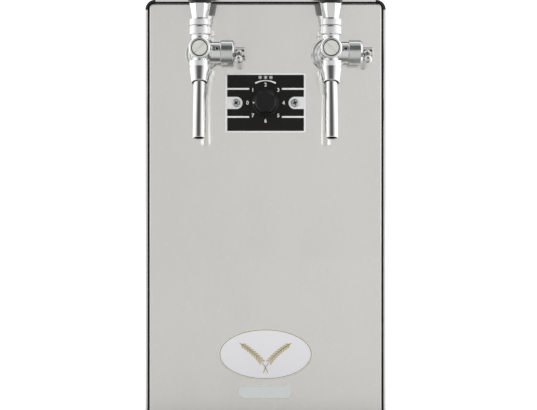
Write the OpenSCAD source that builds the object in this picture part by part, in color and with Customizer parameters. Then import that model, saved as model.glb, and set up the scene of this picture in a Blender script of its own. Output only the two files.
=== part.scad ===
/* [Casing] */
// Width of the casing over the outer cover
case_w = 240; // [232:2:300]
// Depth of the casing from front hem to rear hem
case_d = 385; // [375:5:460]
// Height of the casing above the feet
case_h = 440; // [430:5:520]
// Thickness of the outer cover sheet
cover_t = 1; // [0.8:0.1:1.5]
// Width of the folded hem that frames the front and the rear
hem_w = 2.2; // [2:0.1:3]
// Depth of the folded hem
hem_d = 8; // [7:1:12]
// Outer radius of the cover's top corners
cover_r = 10; // [8:1:12]
// Depth of the black corner trims
trim_d = 6; // [4:0.5:6.5]
// Height of the rubber feet
foot_h = 15; // [10:1:30]
// Diameter of the rubber feet
foot_d = 34; // [26:1:40]
// Distance from the casing's edges to the middle of a foot
foot_inset = 30; // [26:1:50]
// Sheet thickness of the base tray and the shelf
tray_t = 1.2; // [1:0.1:2]
// Height of the base tray's flange
tray_flange = 18; // [14:1:24]

/* [Side walls] */
// Width of a vent slot
vent_w = 4; // [3:0.5:4]
// Height of a vent slot
vent_l = 46; // [30:2:60]
// Spacing of the vent slots
vent_pitch = 10; // [8:1:14]
// Number of vent slots in a row
vent_count = 14; // [8:1:18]
// Length of the hand grip hollow
grip_l = 104; // [90:2:120]
// Height of the hand grip hollow
grip_h = 30; // [24:1:32]
// Depth of the hand grip hollow
grip_deep = 22; // [16:1:26]
// Wall thickness of the hand grips
grip_wall = 2; // [1.5:0.1:2.5]
// Width of the flange round a hand grip
grip_flange = 5; // [4:0.5:7]
// Distance from the top of the casing to the middle of a hand grip
grip_drop = 30; // [27:1:34]

/* [Front panel] */
// Width of the gap between hem and front panel
panel_gap = 2; // [1.5:0.1:3]
// Corner radius of the front panel
panel_r = 4.5; // [3.5:0.5:6]
// Thickness of the front panel
panel_t = 1.2; // [1:0.1:2]
// Distance from the hem's front edge back to the panel face
panel_recess = 0.6; // [0.2:0.1:1.5]
// Depth of the panel's folded edge
panel_flange = 12; // [10:1:16]
// Height of the front panel's lower edge above the casing's lower edge
panel_lift = 3; // [2:0.5:6]
// Distance from the panel face back to the black seal
seal_recess = 2.5; // [1.5:0.5:5]

/* [Taps] */
// Distance between the two tap axes
tap_spacing = 126; // [120:2:150]
// Distance from the top of the casing to the tap axes
tap_drop = 54.7; // [52:0.1:70]
// Diameter of the rosette
rosette_d = 35; // [30:1:42]
// Thickness of the rosette
rosette_t = 5; // [4:0.5:7]
// Diameter of the shank that passes through the panel
shank_d = 14; // [12:0.5:16]
// Diameter of the beer channel in the shank
channel_d = 7; // [5:0.5:8]
// Length of the shank behind the panel face
shank_tail = 36; // [30:1:42]
// Diameter of the tap's valve barrel
barrel_d = 21; // [20:0.5:23]
// Distance from the panel face to the front end of the barrel
barrel_front = 70; // [69:0.5:74]
// Diameter of the front plug's face
plug_face_d = 14.7; // [12:0.1:15]
// Distance from the panel face to the lever axis
stem_v = 52; // [51.5:0.1:52.5]
// Height of the ball joint above the barrel axis
pivot_w = 12; // [11.8:0.1:13]
// Diameter of the lever's ball
ball_d = 9; // [8:0.1:9.2]
// Diameter of the lever stem
stem_d = 6.5; // [5.5:0.1:6.8]
// Diameter of the collar nut and the splash collar
collar_d = 21.5; // [21:0.1:23]
// Diameter of the neck under the collar nut
neck_d = 17.5; // [17:0.1:19]
// Angle that the handle can be pulled forward
lever_pull = 25; // [15:1:25]
// Angle that the handle can be pushed back
lever_push = 12; // [0:1:12]

/* [Handles] */
// Height of the octagonal ferrule
ferrule_h = 15.2; // [12:0.1:20]
// Width of the ferrule over its flats at the bottom
ferrule_low = 15; // [13:0.5:17]
// Width of the ferrule over its flats at the top
ferrule_high = 20; // [18:0.5:22]
// Diameter of the handle at its foot
handle_low = 22; // [20:0.5:24]
// Largest diameter of the handle
handle_d = 35; // [28:1:40]
// Height of the handle
handle_h = 74; // [60:2:90]

/* [Spouts] */
// Outer diameter of the spout tube
spout_od = 12; // [11:0.5:12.5]
// Inner diameter of the spout tube
spout_id = 10; // [8:0.5:10.5]
// Forward lean of the tap's outlet
outlet_lean = 22; // [20:0.5:24]
// Forward lean of the spout's tip
tip_lean = 11; // [8:0.5:14]
// Distance from the tap axis down to the middle of the spout's end
spout_drop = 87; // [82:1:95]
// Diameter of the outlet cone at its tip
outlet_tip_d = 15.9; // [14.6:0.1:17]
// Length of the outlet cone from the barrel axis
outlet_len = 36.2; // [30:0.1:38]

/* [Compensators] */
// Distance from the panel face to the compensator axis
comp_v = 19; // [18.5:0.5:20]
// Diameter of the boss that carries the compensator
boss_d = 20.8; // [19:0.1:20.8]
// Distance from the tap axis to the end of the boss
boss_x = 19; // [17:0.5:22]
// Diameter of the compensator housing
housing_d = 23.8; // [21.4:0.1:25]
// Length of the visible part of the housing
housing_l = 13.4; // [11:0.2:18]
// Diameter of the compensator lever's hub
hub_d = 10; // [9:0.5:12]
// Length of the compensator lever's hub
hub_l = 10.2; // [9:0.2:14]
// Length of the compensator lever from its axis to the middle of its tip
comp_arm = 22; // [16:1:26]
// Diameter of the compensator lever's tip
comp_tip_d = 7.8; // [6:0.2:8]
// Angle of the compensator lever below the horizontal at rest
comp_droop = 22.6; // [15:0.2:25]

/* [Dial] */
// Distance from the top of the casing to the dial's axis
dial_drop = 103.2; // [98:1:120]
// Width of the dial plate
plate_w = 80; // [70:1:90]
// Height of the dial plate
plate_h = 59.5; // [50:1:70]
// Thickness of the dial plate
plate_t = 1.5; // [1:0.1:2]
// Corner radius of the dial plate
plate_r = 1.5; // [1:0.5:4]
// Distance between the two dial screws
dial_screw_span = 58.5; // [54:0.5:64]
// Head diameter of the dial screws
dial_screw_head = 8; // [7:0.5:9]
// Diameter of the knob's skirt
knob_skirt_d = 27; // [24:0.5:30]
// Diameter of the knob's front face
knob_face_d = 20; // [17:0.5:22]
// Height of the knob
knob_h = 17; // [15:0.5:22]
// Diameter of the thermostat spindle
spindle_d = 6; // [5:0.5:7]

/* [Badges] */
// Width of the oval badge
oval_w = 94; // [80:1:110]
// Height of the oval badge
oval_h = 51.5; // [40:0.5:60]
// Distance from the top of the casing to the middle of the oval badge
oval_drop = 353.8; // [345:1:360]
// Width of the pill badge
pill_w = 53.2; // [40:1:70]
// Height of the pill badge
pill_h = 13.1; // [10:0.5:16]
// Distance from the top of the casing to the middle of the pill badge
pill_drop = 391.2; // [389:1:400]
// Thickness of both badges
badge_t = 1.6; // [1:0.1:2.5]

/* [Cooling] */
// Height of the machine space under the shelf
machine_h = 195; // [190:1:205]
// Wall thickness of the insulation
foam_t = 25; // [20:1:30]
// Gap between the insulation and the outer cover
foam_gap = 9; // [6:1:14]
// Height that the beer lines run above the insulation lid
line_rise = 22; // [20:1:26]
// Diameter of the beer lines
beer_line_d = 9.5; // [8:0.5:10]
// Diameter of the refrigerant lines
gas_line_d = 6; // [5:0.5:7]
// Diameter of the compressor shell
shell_d = 112; // [100:2:120]
// Height of the compressor shell
shell_h = 138; // [120:2:142]
// Number of condenser fins
fin_count = 20; // [12:1:22]
// Gap between the condenser and the outer cover
cond_gap = 28.5; // [27:0.5:32]
// Diameter of the fan rotor
fan_d = 140; // [120:2:150]
// Number of fan blades
blade_count = 5; // [4:1:7]

/* [Rear] */
// Distance from the rear hem forward to the rear panel
rear_recess = 1; // [0.5:0.5:3]
// Distance between the two beer inlets
inlet_spacing = 80; // [60:2:100]
// Height of the beer inlets above the tap axes
inlet_rise = 6; // [0:1:10]
// Diameter of the tube that the beer inlets take
inlet_tube_d = 9.5; // [8:0.5:10]
// Distance that an inlet stands out from the rear panel
inlet_out = 27; // [25:1:32]
// Travel of the inlet collet
collet_travel = 1.6; // [1:0.1:2]
// Width of the mains inlet's flange
mains_w = 50; // [48:1:54]
// Height of the mains inlet's flange
mains_h = 26; // [24:1:30]
// Length of a grille slot
grille_l = 52; // [40:2:56]
// Number of grille slots in a column
grille_rows = 14; // [8:1:15]

/* [Fits] */
// Radial clearance of turning and sliding fits
run_fit = 0.05; // [0.02:0.01:0.1]
// Radial clearance of holes round fixed pieces
hole_fit = 0.25; // [0.1:0.05:0.4]
// Gap between moving surfaces that don't guide each other
free_gap = 0.3; // [0.25:0.05:0.5]

/* [Hidden] */
$fn = 96;
steel = [0.78, 0.78, 0.76];
chrome = [0.85, 0.86, 0.86];
black = [0.1, 0.1, 0.1];
copper = [0.72, 0.45, 0.3];
eps = 0.5;

z_base = foot_h;
z_top = foot_h + case_h;
spout_root_v = stem_v + outlet_len * sin(outlet_lean);
spout_root_w = -outlet_len * cos(outlet_lean);
spout_r = (spout_drop + spout_root_w) / (sin(outlet_lean) - sin(tip_lean));
spout_reach = spout_root_v + spout_r * (cos(tip_lean) - cos(outlet_lean));
spout_front = spout_reach + spout_od / 2 * cos(tip_lean);
y_front = round(5 * (spout_front - panel_recess - inlet_out + rear_recess - case_d)) / 10;
y_back = y_front + case_d;
y_panel = y_front + panel_recess;
y_rear = y_back - rear_recess;
panel_back = y_panel + panel_t;
frame_inset = hem_w + panel_gap;
panel_low = z_base + panel_lift;
tap_x = tap_spacing / 2;
tap_z = z_top - tap_drop;
dial_z = z_top - dial_drop;
inlet_x = inlet_spacing / 2;
inlet_z = tap_z + inlet_rise;

tray_y0 = y_front + panel_recess + panel_flange + 2;
tray_y1 = y_back - hem_d - 5;
floor_z = z_base + tray_t;
shelf_z = z_base + machine_h;
foam_z0 = shelf_z;
lid_z1 = tap_z - line_rise;
lid_z0 = lid_z1 - foam_t;
foam_half = case_w / 2 - foam_gap;
foam_y0 = y_panel + shank_tail + 8;
foam_y1 = y_back - 62;
block_half = foam_half - foam_t;
block_y0 = foam_y0 + foam_t;
block_y1 = foam_y1 - foam_t;
block_z0 = foam_z0 + foam_t;

grip_z = z_top - grip_drop;
grip_y = (y_front + y_back) / 2 + 10;
grip_hole_l = grip_l + 2 * grip_wall;
grip_hole_h = grip_h + 2 * grip_wall;
grip_rim_t = 1.2;

// Lengths inside the tap, measured forward from the panel face
seat_back = stem_v - 26;
chamber_back = stem_v - 12;
plug_back = stem_v + 11;
seat_d = 10;
chamber_d = 14.4;
plug_thread_d = 16;
plug_sink = 1.5;
tip_d = 5;
arm_d = 3.8;
neck_top = pivot_w + 2;
spigot_top = neck_top + 2.5;
spigot_d = neck_d - 2.5;
nut_h = 8.1;
dome_r = norm([collar_d / 2, neck_top + nut_h - pivot_w]);
rim_w = 0.4;
cap_low = pivot_w + sqrt(pow(dome_r + free_gap, 2) - pow(collar_d / 2 - rim_w, 2));
cap_t = 2.1;
cap_top = pivot_w + dome_r + free_gap + cap_t;
slot_half = stem_d / 2 + 0.35;
handle_w0 = cap_top + ferrule_h;

boss_bore_d = boss_d - 2.4;
spigot_len = 8;
cone_d = boss_bore_d - 4.2;
housing_x1 = boss_x + housing_l;
spindle_in = housing_x1 - 5.4;
hub_x0 = housing_x1 + free_gap;
comp_arm_x = hub_x0 + hub_l / 2 - 0.8;

outlet_top_d = outlet_tip_d + 4.7;
socket_deep = 10;
outlet_dir = [0, -sin(outlet_lean), -cos(outlet_lean)];
tip_dir = [0, -sin(tip_lean), -cos(tip_lean)];
outlet_root = [0, -stem_v, 0];
spout_end = [0, -spout_reach, -spout_drop];
spout_centre = spout_end + spout_r * [0, cos(tip_lean), -sin(tip_lean)];
spigot_od = spout_od - 0.4;
spigot_id = spout_id - 0.4;
tip_bore_len = 6;

screw_d = 4;
grille_pitch = 10;
casing_screw_head = 7.5;
casing_screw_h = 2.2;
foot_pad = 5;
knob_gap = 0.4;
spindle_end = plate_t + knob_gap + knob_h - 4;
thermo_t = 1.5;
thermo_size = 44;
thermo_deep = 24;
thermo_y0 = panel_back + thermo_t;
thermo_y1 = thermo_y0 + thermo_deep;
bushing_d = spindle_d + 3;
probe_x = 8;
probe_z = dial_z - 22;
probe_d = 7;
probe_l = 40;

cond_y = y_back - 48;
cond_depth = 44;
cond_low = floor_z + 6;
cond_h = 150;
cond_half = case_w / 2 - cond_gap;
fin_pitch = 2 * (cond_half - 6) / (fin_count - 1);
cond_rows = 5;
row_pitch = 28;
row_z0 = cond_low + 19;
column_pitch = 22;
tube_d = 8;
fan_z = floor_z + 92;
fan_half_w = cond_half + 2.5;
fan_half_h = 84;
shroud_y = cond_y - cond_depth / 2 - 14;
shroud_t = 1.5;
shroud_flange = 12;
hub_half = 22;
blade_reach = 16;
rotor_t = 12;
blade_t = 2;
rotor_y = shroud_y - 4;
motor_y1 = rotor_y - blade_reach;
motor_len = 40;
motor_d = 58;
motor_shaft_d = 6;

comp_x = shell_d / 2 + 26 - case_w / 2;
comp_y = y_front + 116;
comp_plate_w = 132;
comp_plate_d = 100;
mount_h = 13;
shell_z0 = floor_z + mount_h + 3;
shell_z1 = shell_z0 + shell_h;
stub_z = shell_z1 + 7;
stub_x = 26;
gas_z = stub_z + 8;
gas_side = case_w / 2 - 8;
drier_d = 18;
drier_x = gas_side - 12;
drier_z = floor_z + 14;
drier_l = 66;
drier_y0 = comp_y + 66;
drier_y1 = drier_y0 + drier_l;
suction_x = case_w / 2 - 60;
suction_y = comp_y;
capillary_x = 48 - case_w / 2;
capillary_y = comp_y + 30;
capillary_z = gas_z - 10;
capillary_d = 3;

socket_w = 24;
socket_h = 16;
socket_deep_m = 17;
mains_x = case_w / 2 - 42;
mains_z = shelf_z + 22;
mains_wall = 2;
pin_l = 15;
line_inset = 14;
line_bend = 12;
inlet_tail = 18;
collet_seat = 10;

// A straight run reaches this far into the slightly thinner bend that follows it
joint_lap = 0.15;
joint_step = 0.02;

function unit(v) = v / norm(v);
// Length that a bend takes from each of the two runs that meet at a corner of a route
function bend_take(route, i, bend) =
    let (a = unit(route[i] - route[i - 1]), b = unit(route[i + 1] - route[i]))
    bend * tan(acos(a * b) / 2);
// Points of a superellipse quarter that closes the handle's top
function dome_points(r, low, high, steps) =
    [for (i = [0 : steps]) [r * pow(cos(90 * i / steps), 0.7), low + (high - low) * sin(90 * i / steps)]];

// Turns the children's +Z to a direction
module aim(dir) {
    rotate([0, acos(dir.z / norm(dir)), atan2(dir.y, dir.x)]) children();
}

// Rod between two distances forward of the origin
module rod_forward(v0, v1, d) {
    rotate([90, 0, 0]) translate([0, 0, v0]) cylinder(d = d, h = v1 - v0);
}

// Rod between two distances to the right of the origin
module rod_side(x0, x1, d) {
    translate([x0, 0, 0]) rotate([0, 90, 0]) cylinder(d = d, h = x1 - x0);
}

module rod_up(w0, w1, d) {
    translate([0, 0, w0]) cylinder(d = d, h = w1 - w0);
}

// Body of revolution about the forward axis, from a profile of radius and distance forward
module turn_forward() {
    rotate([90, 0, 0]) rotate_extrude() children();
}

module turn_side() {
    rotate([0, 90, 0]) rotate_extrude() children();
}

// Rod along a route of corner points, with a round bend at each corner
module pipe(route, d, bend) {
    last = len(route) - 1;
    for (i = [0 : last - 1]) {
        run = route[i + 1] - route[i];
        skip = i == 0 ? 0 : bend_take(route, i, bend) - joint_lap;
        stop = i == last - 1 ? 0 : bend_take(route, i + 1, bend) - joint_lap;
        translate(route[i] + unit(run) * skip) aim(run)
            cylinder(d = d, h = norm(run) - skip - stop);
    }
    if (last > 1) for (i = [1 : last - 1]) elbow(route[i - 1], route[i], route[i + 1], d, bend);
}

module elbow(before, corner, after, d, bend) {
    a = unit(corner - before);
    b = unit(after - corner);
    turn = acos(a * b);
    inward = unit(b - a * (a * b));
    middle = corner - a * bend * tan(turn / 2) + inward * bend;
    x = -inward;
    z = cross(x, a);
    multmatrix([
        [x.x, a.x, z.x, middle.x],
        [x.y, a.y, z.y, middle.y],
        [x.z, a.z, z.z, middle.z],
        [0, 0, 0, 1]
    ]) rotate_extrude(angle = turn) translate([bend, 0]) circle(d = d - joint_step, $fn = 48);
}

// Upright outline with round top corners, standing on the casing's lower edge
module arch(inset, drop = 0) {
    w = case_w - 2 * inset;
    h = case_h - inset + drop;
    r = cover_r - inset;
    translate([0, -drop]) {
        translate([-w / 2, 0]) square([w, h - r]);
        translate([-w / 2 + r, 0]) square([w - 2 * r, h]);
        for (side = [-1, 1]) translate([side * (w / 2 - r), h - r]) circle(r = r);
    }
}

module rounded(w, h, r) {
    square([w - 2 * r, h], center = true);
    square([w, h - 2 * r], center = true);
    for (x = [-1, 1], y = [-1, 1])
        translate([x * (w / 2 - r), y * (h / 2 - r)]) circle(r = r);
}

module pill(length, width) {
    square([length - width, width], center = true);
    for (side = [-1, 1]) translate([side * (length - width) / 2, 0]) circle(d = width, $fn = 32);
}

// Stands an outline up and gives it depth rearward from y0
module stand(y0, depth) {
    translate([0, y0 + depth, 0]) rotate([90, 0, 0]) linear_extrude(depth) children();
}

module panel_outline(inset = 0) {
    w = case_w - 2 * frame_inset - 2 * inset;
    h = z_top - frame_inset - panel_low - 2 * inset;
    translate([0, panel_low + inset + h / 2]) rounded(w, h, panel_r - inset);
}

module cross_recess(size, deep) {
    for (turn = [0, 90]) rotate([0, 0, turn])
        translate([-size / 2, -size / 8, -deep]) cube([size, size / 4, deep + 1]);
}

// Pan head screw along -Z with the underside of its head at the origin
module pan_screw(head_d, head_h, length) {
    difference() {
        union() {
            cylinder(d = head_d, h = head_h * 0.55);
            translate([0, 0, head_h * 0.55]) cylinder(d1 = head_d, d2 = head_d * 0.62, h = head_h * 0.45);
            translate([0, 0, -length]) cylinder(d = screw_d, h = length);
        }
        translate([0, 0, head_h]) cross_recess(head_d * 0.56, head_h * 0.6);
    }
}

module at_tap(side) {
    translate([side * tap_x, y_panel, tap_z]) children();
}

module vent_rows() {
    for (row = [0, 1], i = [0 : vent_count - 1])
        translate([y_back - 74 - i * vent_pitch, z_base + 66 + row * (vent_l + 16)])
            rotate([0, 0, 90]) pill(vent_l, vent_w);
}

// Cuts or plates an outline drawn in depth and height through the wall at one side
module side_wall(side, x0, x1) {
    translate([side > 0 ? x0 : -x1, 0, 0])
        rotate([90, 0, 90]) linear_extrude(x1 - x0) children();
}

function side_screw_places() = [for (y = [y_front + 60, y_back - 60]) [y, z_base + tray_flange / 2]];

module outer_cover() color(steel) {
    difference() {
        translate([0, 0, z_base]) difference() {
            stand(y_front, case_d) arch(0);
            stand(y_front - eps, case_d + 2 * eps) arch(hem_w, 1);
            stand(y_front + hem_d, case_d - 2 * hem_d) arch(cover_t, 1);
        }
        for (side = [-1, 1]) {
            translate([side > 0 ? case_w / 2 - cover_r : -case_w / 2 - eps, y_front - eps, z_top - cover_r])
                cube([cover_r + eps, trim_d + eps, cover_r + eps]);
            side_wall(side, case_w / 2 - hem_w - 1, case_w / 2 + 1) vent_rows();
            side_wall(side, case_w / 2 - hem_w - 1, case_w / 2 + 1)
                translate([grip_y, grip_z]) rounded(grip_hole_l, grip_hole_h, 6);
            for (place = side_screw_places()) translate([0, place[0], place[1]])
                rod_side(side > 0 ? 0 : -case_w, side > 0 ? case_w : 0, screw_d);
        }
    }
}

module corner_trims() color(black) {
    intersection() {
        translate([0, 0, z_base]) difference() {
            stand(y_front, trim_d) arch(0);
            stand(y_front - eps, trim_d + 2 * eps) arch(hem_w, 1);
        }
        for (side = [-1, 1])
            translate([side > 0 ? case_w / 2 - cover_r : -case_w / 2, y_front - eps, z_top - cover_r])
                cube([cover_r, trim_d + 2 * eps, cover_r]);
    }
}

module front_seal() color(black) {
    difference() {
        translate([0, 0, z_base]) stand(y_panel + seal_recess, hem_d) arch(hem_w);
        stand(y_panel + seal_recess - eps, hem_d + 2 * eps) {
            panel_outline();
            translate([frame_inset - case_w / 2, 0]) square([case_w - 2 * frame_inset, z_base + case_h / 2]);
        }
    }
}

module front_panel() color(steel) {
    difference() {
        union() {
            stand(y_panel, panel_t) panel_outline();
            difference() {
                stand(y_panel, panel_flange) panel_outline();
                stand(y_panel - eps, panel_flange + 2 * eps) panel_outline(panel_t);
            }
        }
        for (side = [-1, 1]) {
            at_tap(side) rod_forward(-panel_t - eps, eps, shank_d + 2 * hole_fit);
            translate([side * dial_screw_span / 2, y_panel, dial_z])
                rod_forward(-panel_t - eps, eps, screw_d + 2 * hole_fit);
        }
        translate([0, y_panel, dial_z]) rod_forward(-panel_t - eps, eps, bushing_d + 2 * hole_fit);
    }
}

module grille_slots() {
    for (column = [-1, 0, 1], row = [0 : grille_rows - 1])
        translate([column * (grille_l + 8), floor_z + 26 + row * grille_pitch]) pill(grille_l, vent_w);
}

module rear_outline(inset = 0) {
    w = case_w - 2 * hem_w - 2 * inset;
    h = case_h - hem_w - tray_t - 2 * inset;
    translate([0, floor_z + inset + h / 2]) rounded(w, h, cover_r - hem_w - inset);
}

function rear_screw_places() = [for (x = [-1, 1], z = [z_base + 12, z_base + case_h / 2, z_top - 14])
    [x * (case_w / 2 - hem_w - 9), z]];

module rear_panel() color(steel) {
    difference() {
        union() {
            stand(y_rear - cover_t, cover_t) rear_outline();
            difference() {
                stand(y_rear - hem_d, hem_d) rear_outline();
                stand(y_rear - hem_d - eps, hem_d + 2 * eps) rear_outline(cover_t);
            }
        }
        stand(y_rear - hem_d, hem_d + 1) grille_slots();
        for (side = [-1, 1])
            translate([side * inlet_x, y_rear, inlet_z]) rod_forward(-eps, cover_t + eps, inlet_thread_d());
        for (place = rear_screw_places())
            translate([place[0], y_rear, place[1]]) rod_forward(-eps, cover_t + eps, screw_d);
        translate([mains_x, y_rear, mains_z])
            stand(-cover_t - eps, cover_t + 2 * eps)
                square([socket_w + 2 * mains_wall, socket_h + 2 * mains_wall], center = true);
    }
}

module base_tray() color(steel) {
    half = case_w / 2 - cover_t;
    difference() {
        translate([-half, tray_y0, z_base]) cube([2 * half, tray_y1 - tray_y0, tray_flange]);
        translate([-half + tray_t, tray_y0 + tray_t, floor_z])
            cube([2 * (half - tray_t), tray_y1 - tray_y0 - 2 * tray_t, tray_flange]);
        for (place = foot_places())
            translate([place[0], place[1], 0]) rod_up(z_base - 1, floor_z + 1, screw_d);
        for (place = side_screw_places())
            translate([0, place[0], place[1]]) rod_side(-case_w, case_w, screw_d);
    }
}

function foot_places() = [for (x = [-1, 1], y = [tray_y0 + foot_inset - 8, tray_y1 - foot_inset + 8])
    [x * (case_w / 2 - foot_inset), y]];

module rubber_feet() color(black) {
    for (place = foot_places()) translate([place[0], place[1], 0]) difference() {
        rotate_extrude() polygon([
            [0, 0], [foot_d / 2 - 3.5, 0], [foot_d / 2 - 2.5, 1],
            [foot_d / 2, foot_h - 3], [foot_d / 2, foot_h], [0, foot_h]
        ]);
        rod_up(-1, foot_h - foot_pad, 11);
        rod_up(0, foot_h + 1, screw_d);
    }
}

module casing_screws() color(chrome) {
    for (place = rear_screw_places())
        translate([place[0], y_rear, place[1]]) rotate([-90, 0, 0])
            pan_screw(casing_screw_head, casing_screw_h, 6);
    for (side = [-1, 1], place = side_screw_places())
        translate([side * case_w / 2, place[0], place[1]]) rotate([0, side * 90, 0])
            pan_screw(casing_screw_head, casing_screw_h, 7);
    for (place = foot_places())
        translate([place[0], place[1], foot_h - foot_pad]) rotate([180, 0, 0])
            pan_screw(casing_screw_head, casing_screw_h, foot_pad + tray_t);
}

module hand_grips() color(black) {
    for (side = [-1, 1]) difference() {
        union() {
            side_wall(side, case_w / 2, case_w / 2 + grip_rim_t) translate([grip_y, grip_z])
                rounded(grip_hole_l + 2 * grip_flange, grip_hole_h + 2 * grip_flange, 9);
            side_wall(side, case_w / 2 - grip_deep - grip_wall, case_w / 2) translate([grip_y, grip_z])
                rounded(grip_hole_l, grip_hole_h, 6);
        }
        side_wall(side, case_w / 2 - grip_deep, case_w / 2 + grip_rim_t + 1) translate([grip_y, grip_z])
            rounded(grip_l, grip_h, 4);
    }
}

module oval_badge() color([0.86, 0.86, 0.84]) {
    translate([0, y_panel, z_top - oval_drop]) {
        stand(-badge_t * 0.6, badge_t * 0.6) resize_oval(oval_w, oval_h);
        stand(-badge_t, badge_t) difference() {
            resize_oval(oval_w, oval_h);
            resize_oval(oval_w - 5, oval_h - 5);
        }
    }
}

module resize_oval(w, h) {
    scale([w / h, 1]) circle(d = h);
}

module pill_badge() color([0.82, 0.82, 0.83]) {
    translate([0, y_panel, z_top - pill_drop]) {
        stand(-badge_t * 0.6, badge_t * 0.6) pill(pill_w, pill_h);
        stand(-badge_t, badge_t) difference() {
            pill(pill_w, pill_h);
            pill(pill_w - 2, pill_h - 2);
        }
    }
}

module dial_plate() color(black) {
    translate([0, y_panel, dial_z]) difference() {
        stand(-plate_t, plate_t) rounded(plate_w, plate_h, plate_r);
        rod_forward(-eps, plate_t + eps, bushing_d + 2 * hole_fit);
        for (side = [-1, 1]) translate([side * dial_screw_span / 2, 0, 0])
            rod_forward(-eps, plate_t + eps, screw_d + 2 * hole_fit);
    }
}

module dial_screws() color(chrome) {
    for (side = [-1, 1]) translate([side * dial_screw_span / 2, y_panel - plate_t, dial_z])
        rotate([90, 0, 0]) pan_screw(dial_screw_head, 2.6, plate_t + panel_t + 7);
}

module dial_knob() color(black) {
    translate([0, y_panel - plate_t - knob_gap, dial_z]) {
        difference() {
            turn_forward() polygon([
                [0, 0], [knob_skirt_d / 2, 0], [knob_skirt_d / 2, 2], [knob_skirt_d / 2 - 1, 3],
                [knob_face_d / 2 + 1.6, 3.6], [knob_face_d / 2 + 0.2, knob_h - 1.2],
                [knob_face_d / 2 - 1, knob_h], [0, knob_h]
            ]);
            rod_forward(-eps, knob_h - 4, spindle_d);
            rod_forward(-eps, 2, bushing_d + 1);
        }
        translate([-knob_skirt_d / 2 + 0.4, -2.4, -0.8]) cube([3, 1.2, 1.6]);
    }
}

module dial_spindle() color(chrome) {
    translate([0, y_panel, dial_z]) rod_forward(-panel_t - thermo_t - 8, spindle_end, spindle_d);
}

module thermostat_body() color(steel) {
    half = dial_screw_span / 2;
    translate([0, 0, dial_z]) difference() {
        union() {
            translate([-half - 7, panel_back, -8]) cube([2 * half + 14, thermo_t, 16]);
            translate([-thermo_size / 2, thermo_y0, -thermo_size / 2])
                cube([thermo_size, thermo_deep, thermo_size]);
            translate([0, y_panel, 0]) rod_forward(-panel_t - thermo_t, plate_t + 1, bushing_d);
            for (i = [-1, 0, 1])
                translate([i * 12 - 3, thermo_y0 + 6, -thermo_size / 2 - 8]) cube([6.3, 0.8, 9]);
        }
        translate([0, y_panel, 0])
            rod_forward(-panel_t - thermo_t - 8.3, plate_t + 1 + eps, spindle_d + 2 * run_fit);
        for (side = [-1, 1]) translate([side * half, y_panel, 0])
            rod_forward(-panel_t - thermo_t - eps, 0, screw_d);
    }
}

module thermostat_probe() color(copper) {
    y0 = thermo_y1 + 5;
    y1 = block_y0 + probe_l;
    x = probe_x;
    z0 = probe_z + 12;
    pipe([[x, thermo_y1, z0], [x, y0, z0], [x, y0, probe_z], [x, y1, probe_z]], 2.4, 3);
    translate([x, y1, probe_z]) rotate([-90, 0, 0]) cylinder(d = probe_d, h = probe_l);
}

module block_shelf() color(steel) {
    half = case_w / 2 - cover_t;
    deep = foam_y1 - foam_y0 + 12;
    difference() {
        union() {
            translate([-half, foam_y0 - 6, shelf_z - tray_t]) cube([2 * half, deep, tray_t]);
            for (side = [-1, 1])
                translate([side > 0 ? half - tray_t : -half, foam_y0 - 6, shelf_z - 16])
                    cube([tray_t, deep, 16]);
        }
        gas_holes();
    }
}

module gas_holes() {
    for (hole = [[capillary_x, capillary_y, capillary_d], [suction_x, suction_y, gas_line_d]])
        translate([hole[0], hole[1], shelf_z - 20]) cylinder(d = hole[2] + 2 * hole_fit, h = 20 + foam_t);
}

module foam_box(z0, z1) {
    translate([-foam_half, foam_y0, z0]) cube([2 * foam_half, foam_y1 - foam_y0, z1 - z0]);
}

module insulation_tub() color([0.9, 0.88, 0.78]) {
    difference() {
        foam_box(foam_z0, lid_z0);
        block_box();
        gas_holes();
        translate([probe_x, foam_y0 - 1, probe_z]) rotate([-90, 0, 0])
            cylinder(d = 3, h = foam_t + 2);
    }
}

module block_box() {
    translate([-block_half, block_y0, block_z0])
        cube([2 * block_half, block_y1 - block_y0, lid_z0 - block_z0]);
}

module insulation_lid() color([0.9, 0.88, 0.78]) {
    difference() {
        foam_box(lid_z0, lid_z1);
        for (place = line_drops())
            translate([place[0], place[1], 0]) rod_up(lid_z0 - 1, lid_z1 + 1, beer_line_d + 2 * hole_fit);
    }
}

function line_drops() = [for (side = [-1, 1]) each [
    [side * tap_x, block_y0 + line_inset],
    [side * inlet_x, block_y1 - line_inset]
]];

module cooling_block() color([0.75, 0.76, 0.78]) {
    difference() {
        block_box();
        translate([probe_x, block_y0 - 1, probe_z]) rotate([-90, 0, 0])
            cylinder(d = probe_d, h = 2 * probe_l + 1);
    }
}

module beer_lines() color(chrome) {
    for (side = [-1, 1]) {
        pipe([
            [side * tap_x, y_panel + shank_tail, tap_z],
            [side * tap_x, block_y0 + line_inset, tap_z],
            [side * tap_x, block_y0 + line_inset, lid_z0]
        ], beer_line_d, line_bend);
        pipe([
            [side * inlet_x, y_rear - inlet_tail, inlet_z],
            [side * inlet_x, block_y1 - line_inset, inlet_z],
            [side * inlet_x, block_y1 - line_inset, lid_z0]
        ], beer_line_d, line_bend);
    }
}

function inlet_thread_d() = inlet_tube_d + 8;
function inlet_bore_d() = inlet_tube_d + 0.1;
function collet_d() = inlet_tube_d + 2.6;

module at_inlet(side) {
    translate([side * inlet_x, y_rear, inlet_z]) rotate([0, 0, 180]) children();
}

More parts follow.
